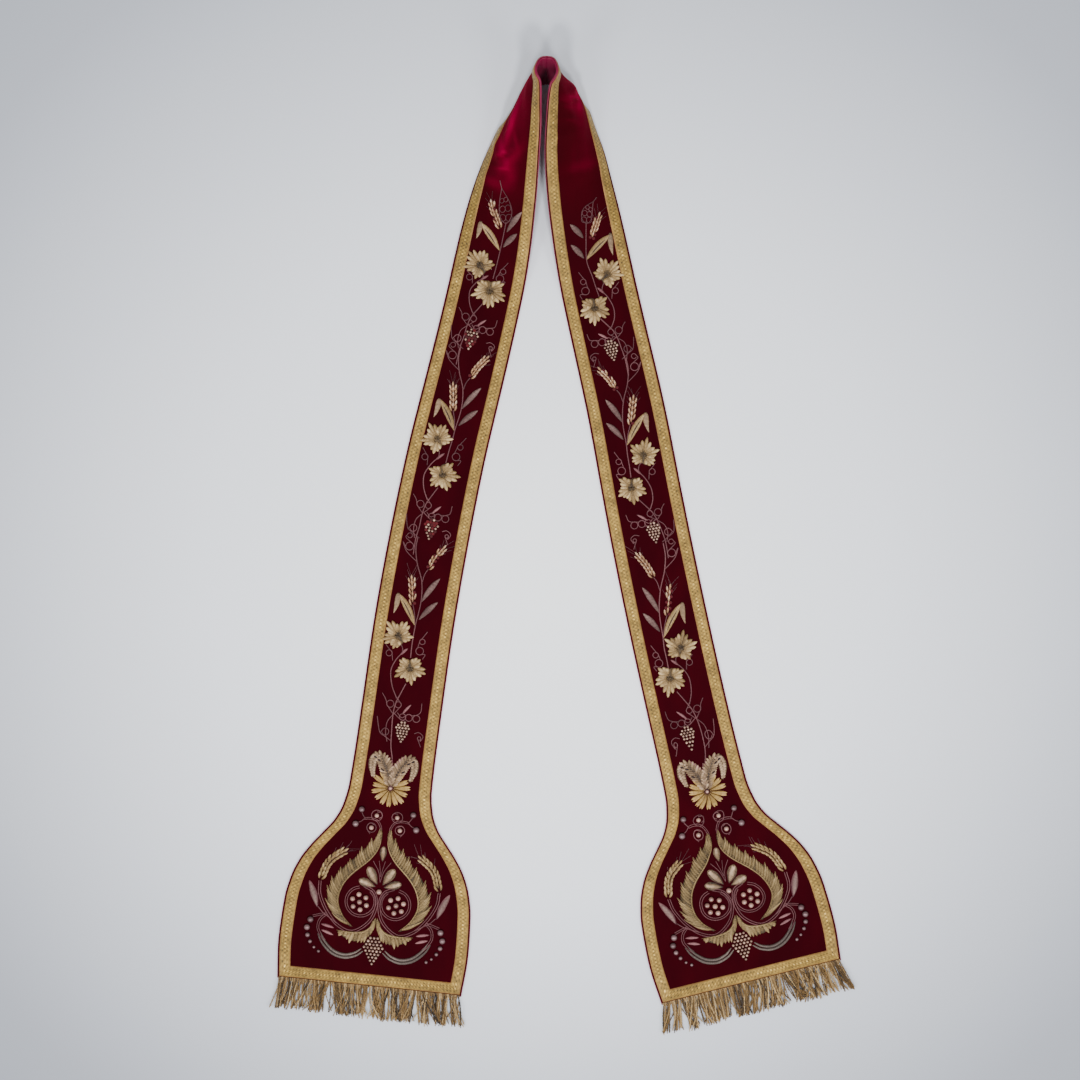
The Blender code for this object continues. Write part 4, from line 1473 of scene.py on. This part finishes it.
def palmette(work):
    """Five plump petals over a pearl, with fine strokes between them."""
    petals = (
        ((0, 141), (0, 158.5), 8.0),
        ((3, 115), (15, 134), 11.0),
        ((-3, 115), (-15, 134), 11.0),
        ((4.5, 112.5), (24, 118.5), 10.0),
        ((-4.5, 112.5), (-24, 118.5), 10.0),
    )
    for root, tip, width in petals:
        # A dark ground petal under each pair of halves: painted shade that shows as the slit between them.
        ground = {"rows": 18, "root": 0.9, "tip": 0.5, "belly": 0.64}
        work.petal(PALM, root, tip, width, 1.1, tones=(0.1, 0.4), **ground)
        a, b = np.array(root, float), np.array(tip, float)
        aside = np.array([b[1] - a[1], a[0] - b[0]]) / np.linalg.norm(b - a)
        for edge in (-1, 1):
            start = a * 0.9 + b * 0.1
            end = b * 0.94 + a * 0.06 + aside * edge * width * 0.12
            shades = (work.chance.uniform(0.25, 0.5), work.chance.uniform(0.85, 1.15))
            half = {"rows": 14, "tip": 0.5, "belly": 0.66}
            work.petal(PALM, start, end, width * 0.46, 2.0, -0.14 * edge, tones=shades, **half)
    work.bead("pearl", 0, 107.5, 3.1, tone=0.75)
    for side in (-1, 1):
        work.cord([(0, 118), (side * 3, 130), (side * 10, 141)], 0.6, 0.5)
        work.cord([(0, 124), (side * 1.5, 133), (side * 3.5, 142)], 0.5, 0.5)


def double_cord(work, steps, radius, apart, tone):
    """Two cords side by side along one route."""
    path = curve(curled(steps), 0.002) / MM
    for side in (-1, 1):
        work.cord([tuple(p) for p in path + beside(path) * side * apart / 2], radius, tone)


def bell_side(work, side):
    """Everything on one side of the bell's axis."""
    acanthus(work, side)
    low_acanthus(work, side)
    wheat = mirrored(side, (67, 115), (58, 136), (38, 153))
    wheat_ear(work, wheat, 8, 8.6, awns=9, material=LEAF_GOLD)
    # Bud leaf on its stalk.
    bud = {"bend": -0.05 * side, "rows": 16, "root": 0.8}
    work.petal(STEM, *mirrored(side, (67, 83), (79, 112)), 7.8, 1.0, tones=(0.3, 0.7), **bud)
    # Lighter at the root than at the tip: a painted highlight near the base of the bud leaf.
    work.petal(BLADE_GREY, *mirrored(side, (68, 85), (78.5, 110.5)), 6.0, 1.6, tones=(1.0, 0.8), **bud)
    # The scroll: from the wheat's foot under the great leaf and round the roundel.
    scroll = (
        (67, 113), (65.5, 98), (56, 80), (42, 65.5), (25, 60.5), (8, 73), (1.6, 91), (5.5, 106), (17, 112.5)
    )
    double_cord(work, mirrored(side, *scroll), 0.78, 2.5, 0.6)
    turns = np.radians(np.arange(80, -250, -24))
    ring = [(19.5 + 16.2 * math.cos(a), 94.6 + 16.2 * math.sin(a)) for a in turns]
    double_cord(work, mirrored(side, *ring), 0.72, 2.4, 0.6)
    work.cord(mirrored(side, (66, 84), (60, 78), (52, 73), (44, 68)), 0.9, 0.6)
    for k in range(6):
        angle = math.radians(k * 60 + 20)
        work.bead("pearl", side * (20.5 + 8.6 * math.cos(angle)), 94 + 8.6 * math.sin(angle), 2.9)
    work.bead("pearl", side * 20.5, 94, 3.0)
    # Curls beyond the junction, spangles that shrink down an arc, and claws.
    double_cord(work, mirrored(side, (56, 77), (63, 75.5), (71, 73)), 0.7, 2.0, 0.6)
    double_cord(work, mirrored(side, (56, 77), (62.5, 70), (64, 61), (60, 53), (55, 47)), 0.7, 2.2, 0.55)
    spangles = (
        (73, 69, 3.5), (76, 60, 3.4), (74.5, 51.5, 2.7), (71, 44.5, 2.2), (66, 38.5, 1.6), (60.5, 34.5, 1.8)
    )
    for across, above, size in spangles:
        work.bead("spangle", side * across, above, size, tone=work.chance.uniform(0.4, 0.9))
    work.petal(STEM, *mirrored(side, (61, 65), (46, 62)), 3.6, 1.2, 0.03 * side, rows=9, tones=(0.7, 0.9))
    work.petal(STEM, *mirrored(side, (60, 58.5), (46, 54)), 3.6, 1.2, 0.03 * side, rows=9, tones=(0.7, 0.9))
    # Silver crescent of two thick laid cords.
    crescent = mirrored(side, (62, 55), (56, 45), (45, 35.5), (32, 32), (20, 35), (12, 41))
    path = curve(curled(crescent), 0.0012)
    for edge in (-1, 1):
        laid = path + beside(path) * edge * 1.7 * MM
        work.satin(SILVER, laid, 3.4 * MM, 1.6 * MM, tones=(0.45, 0.75), tip=0.3, root=0.4)
    # Pearls in spirals at the top, with two spangles on forked stalks.
    work.bead("pearl", side * 11.5, 192, 2.6, tone=0.9)
    work.cord(mirrored(side, (11.5, 196), Ring(11.5, 192, 6.0, 1), (9, 189)), 0.75, 0.6)
    work.bead("pearl", side * 16, 178, 2.7, tone=0.9)
    work.cord(mirrored(side, (13, 181), Ring(16, 178, 5.2, -1), (17, 171)), 0.75, 0.6)
    double_cord(work, mirrored(side, (5, 172), (6, 180), (11, 186.5), (19, 188), (25, 187)), 0.6, 1.8, 0.6)
    work.cord(mirrored(side, (25, 187), (28, 184), (32, 182)), 0.8, 0.5)
    work.cord(mirrored(side, (24, 187), (27, 191), (28.5, 194)), 0.8, 0.5)
    work.bead("spangle", side * 29, 197, 3.3, tone=0.5)
    work.bead("spangle", side * 34, 180.5, 3.6, tone=0.7)


# How far the work on each leg was set off the pattern: its height, sideways and upwards.
Drift = namedtuple("Drift", "above sideways upward")
LEFT_DRIFT = (Drift(0, 0, 0), Drift(1050, 0, 0))
RIGHT_DRIFT = (
    Drift(0, 0, 0),
    Drift(55, 0.5, 1),
    Drift(94, 1, -1.5),
    Drift(125, -2.5, -1),
    Drift(150, -4.5, -1),
    Drift(174, -3.5, -4.5),
    Drift(192, -4.5, -1.5),
    Drift(215, 0.5, -4.5),
    Drift(272, 0.5, -4.5),
    Drift(283, 0, 0),
    Drift(1050, 0, 0),
)
DAISY_ABOVE = 224
STRIPS = {
    "left": (LEFT_UNITS, LEFT_CROWN, LEFT_DRIFT),
    "right": (RIGHT_UNITS, RIGHT_CROWN, RIGHT_DRIFT),
}


def embroider(leg):
    """All the gold work of a leg, as satin, cord and bead pieces."""
    work = Work(leg)
    units, crown, work.drift = STRIPS[leg.name]
    for unit in units:
        strip_unit(work, unit, unit is units[0], unit is units[-1])
    strip_crown(work, crown)
    work.cord([(0, 226), (0.5, 240), (2.5, 256)], 1.05, 0.6)
    work.petal(STEM, (1, 246), (-12, 262), 3.6, 1.2, 0.04, rows=9, tones=(0.6, 0.8))
    lay_satin(work, f"vine_leaves_{leg.name}", [f"leaf_{k}_{leg.name}" for k in range(1, 7)])
    lay_cords(work, f"vine_stems_{leg.name}")
    lay_beads(work, f"strip_grapes_{leg.name}", [f"bunch_{k}_{leg.name}" for k in (1, 2, 3)])
    daisy(work, DAISY_ABOVE)
    palm(work, DAISY_ABOVE, -1)
    palm(work, DAISY_ABOVE, 1)
    palms = [f"palm_{place}_{leg.name}" for place in ("inner", "outer")]
    lay_satin(work, f"daisy_petals_{leg.name}", [f"daisy_{leg.name}", *palms])
    palmette(work)
    for side in (-1, 1):
        bell_side(work, side)
    grape_bunch(work, 0, 41, (3, 4, 5, 6, 5, 4, 3, 2, 1), 4.1, 1.6)
    leaves = [f"acanthus_{place}_{leg.name}" for place in ("inner", "outer")]
    lay_satin(work, f"bell_leaves_{leg.name}", [*leaves, f"palmette_{leg.name}"])
    lay_cords(work, f"bell_scrolls_{leg.name}")
    lay_beads(work, f"bell_beads_{leg.name}", [f"bunch_low_{leg.name}"])


# ---------------------------------------------------------------- fringe
def fringe(leg):
    """Twisted metal cords under the hem, leaning together in uneven clumps and crossing."""
    chance = random.Random(leg.seed + 5)
    reach = float(half_width(LEG_LENGTH)) - 0.0022
    chains = []
    clumps = []
    at = -reach
    while at < reach:
        width = chance.uniform(0.008, 0.019)
        lean = chance.uniform(-0.009, 0.009) + 0.005 * (at / reach)
        clumps.append((at, at + width, lean, chance.uniform(0.35, 0.75), chance.uniform(0.88, 1.0)))
        at += width
    last = FRINGE_CORDS - 1
    for k in range(FRINGE_CORDS):
        start = -reach + 2 * reach * min(max(k + chance.uniform(-0.4, 0.4), 0), last) / last
        low, high, lean, gather, full = next((c for c in clumps if c[0] <= start < c[1]), clumps[-1])
        drift = lean + ((low + high) / 2 - start) * gather + chance.uniform(-0.006, 0.006)
        if chance.random() < 0.34:
            drift += chance.uniform(-0.018, 0.018)
        length = FRINGE_LENGTH * full * chance.uniform(0.86, 0.985)
        limit = reach + FRINGE_SPLAY * 0.9
        drift = max(-limit - start, min(limit - start, drift))
        layer = chance.choice((0.0, 0.0004, 0.0010, 0.0018, 0.0026))
        sway, waves = chance.uniform(-0.0018, 0.0018), chance.uniform(0.8, 1.6)
        t = np.linspace(0, 1, 13)
        across = start + drift * t**1.3 + sway * np.sin(t * math.pi * waves)
        along = LEG_LENGTH - 0.0016 + (length + 0.0006) * t
        rest = 0.0020 + layer * np.sin(t * math.pi * 0.85) ** 0.7 + 0.0003 * chance.random()
        height = rest + (VELVET_TOP + 0.0002 - rest) * np.exp(-((t / 0.10) ** 2))
        places = leg.points(across, along, height)
        radius = np.full(13, 0.00132) * chance.uniform(0.8, 1.1)
        radius[-1] *= 0.8
        tone = chance.choice((0.1, 0.25, 0.4, 0.5, 0.6, 0.75, 0.95)) + chance.uniform(-0.05, 0.1)
        chains.append((places, radius, tone))
    name = f"fringe_cords_{leg.name}"
    return finish_piece(name, cord_mesh(name, chains, FRINGE, 0.0046), [f"fringe_{leg.name}"])


# ---------------------------------------------------------------- the stole
def cut_area():
    """The flat area of a leg's cut, in square metres."""
    along = np.linspace(0, LEG_LENGTH, 400)
    return float(np.trapz(2 * half_width(along), along))


for leg in LEGS:
    velvet = cloth_panel(leg, "velvet", VELVET_BASE, VELVET_TOP, 0.0, 26, VELVET)
    lining = cloth_panel(leg, "lining", 0.0, LINING_TOP, 0.0006, 12, LINING)
    galloon = braid_pieces(leg)
    cords = fringe(leg)
    embroider(leg)
    widest = 2 * max(row.half_width for row in LEG_CUT)
    cut = {"flat": (widest, LEG_LENGTH), "area": cut_area()}


# ---------------------------------------------------------------- floor, light and camera
def floor():
    """A pale floor with a painted pool of light: lightest in the middle, darker towards the edges."""
    half, level = 3.0, -0.0004
    mesh = bpy.data.meshes.new("floor")
    corners = [(half * x, half * y, level) for x, y in ((-1, -1), (1, -1), (1, 1), (-1, 1))]
    mesh.from_pydata(corners, [], [[0, 1, 2, 3]])
    made, tree, shader = new_material("pale floor")
    place = add(tree, "ShaderNodeTexCoord").outputs["Object"]
    moved = vector_math(tree, "ADD", first=place, second=(0.02, 0.0, 0))
    away = add(tree, "ShaderNodeVectorMath", {0: moved}, operation="LENGTH")
    # Painted pool of light: the floor's colour falls off from the middle outwards.
    stops = [(0.05, (248, 251, 255)), (0.38, (232, 236, 244)), (0.78, (186, 191, 202))]
    colour = ramp(tree, away.outputs["Value"], stops)
    wire(tree, shader, Base_Color=colour, Roughness=0.9, Specular_IOR_Level=0.1)
    mesh.materials.append(made)
    plane = bpy.data.objects.new("floor", mesh)
    bpy.context.scene.collection.objects.link(plane)


def aimed(light, place, aim):
    """Puts a light at a place and turns it to a point."""
    holder = bpy.data.objects.new(light.name, light)
    bpy.context.scene.collection.objects.link(holder)
    holder.location = place
    way = np.array(aim, float) - np.array(place, float)
    flat = math.hypot(way[0], way[1])
    turn = math.atan2(way[1], way[0]) - math.pi / 2 if flat > 1e-6 else 0
    holder.rotation_euler = (math.atan2(flat, -way[2]), 0, turn)


def softbox(name, place, aim, size, watts):
    light = bpy.data.lights.new(name, "AREA")
    light.shape = "DISK"
    light.size = size
    light.energy = watts
    aimed(light, place, aim)


def pool(name, place, aim, watts, degrees):
    """A soft pool of light over the middle of the floor."""
    light = bpy.data.lights.new(name, "SPOT")
    light.energy = watts
    light.spot_size = math.radians(degrees)
    light.spot_blend = 1.0
    light.shadow_soft_size = 0.22
    aimed(light, place, aim)


def camera():
    """Straight above the stole."""
    data = bpy.data.cameras.new("above")
    data.sensor_width = 36
    data.lens = 65.5
    holder = bpy.data.objects.new("above", data)
    bpy.context.scene.collection.objects.link(holder)
    holder.location = (-0.0240, 0.0180, 2.2)
    bpy.context.scene.camera = holder


def world():
    made = bpy.data.worlds.new("studio")
    made.use_nodes = True
    back = made.node_tree.nodes["Background"]
    back.inputs["Color"].default_value = (1, 1, 1, 1)
    back.inputs["Strength"].default_value = 0.60
    bpy.context.scene.world = made


floor()
for side, word in ((-1, "left"), (1, "right")):
    softbox(f"{word} softbox", (side * 1.6, -1.2, 1.9), (0, 0.1, 0), 0.9, 24)
for side, word in ((-1, "left"), (1, "right")):
    pool(f"{word} pool", (side * 0.5, -1.3, 2.6), (0, 0.12, 0), 226, 40)
camera()
world()
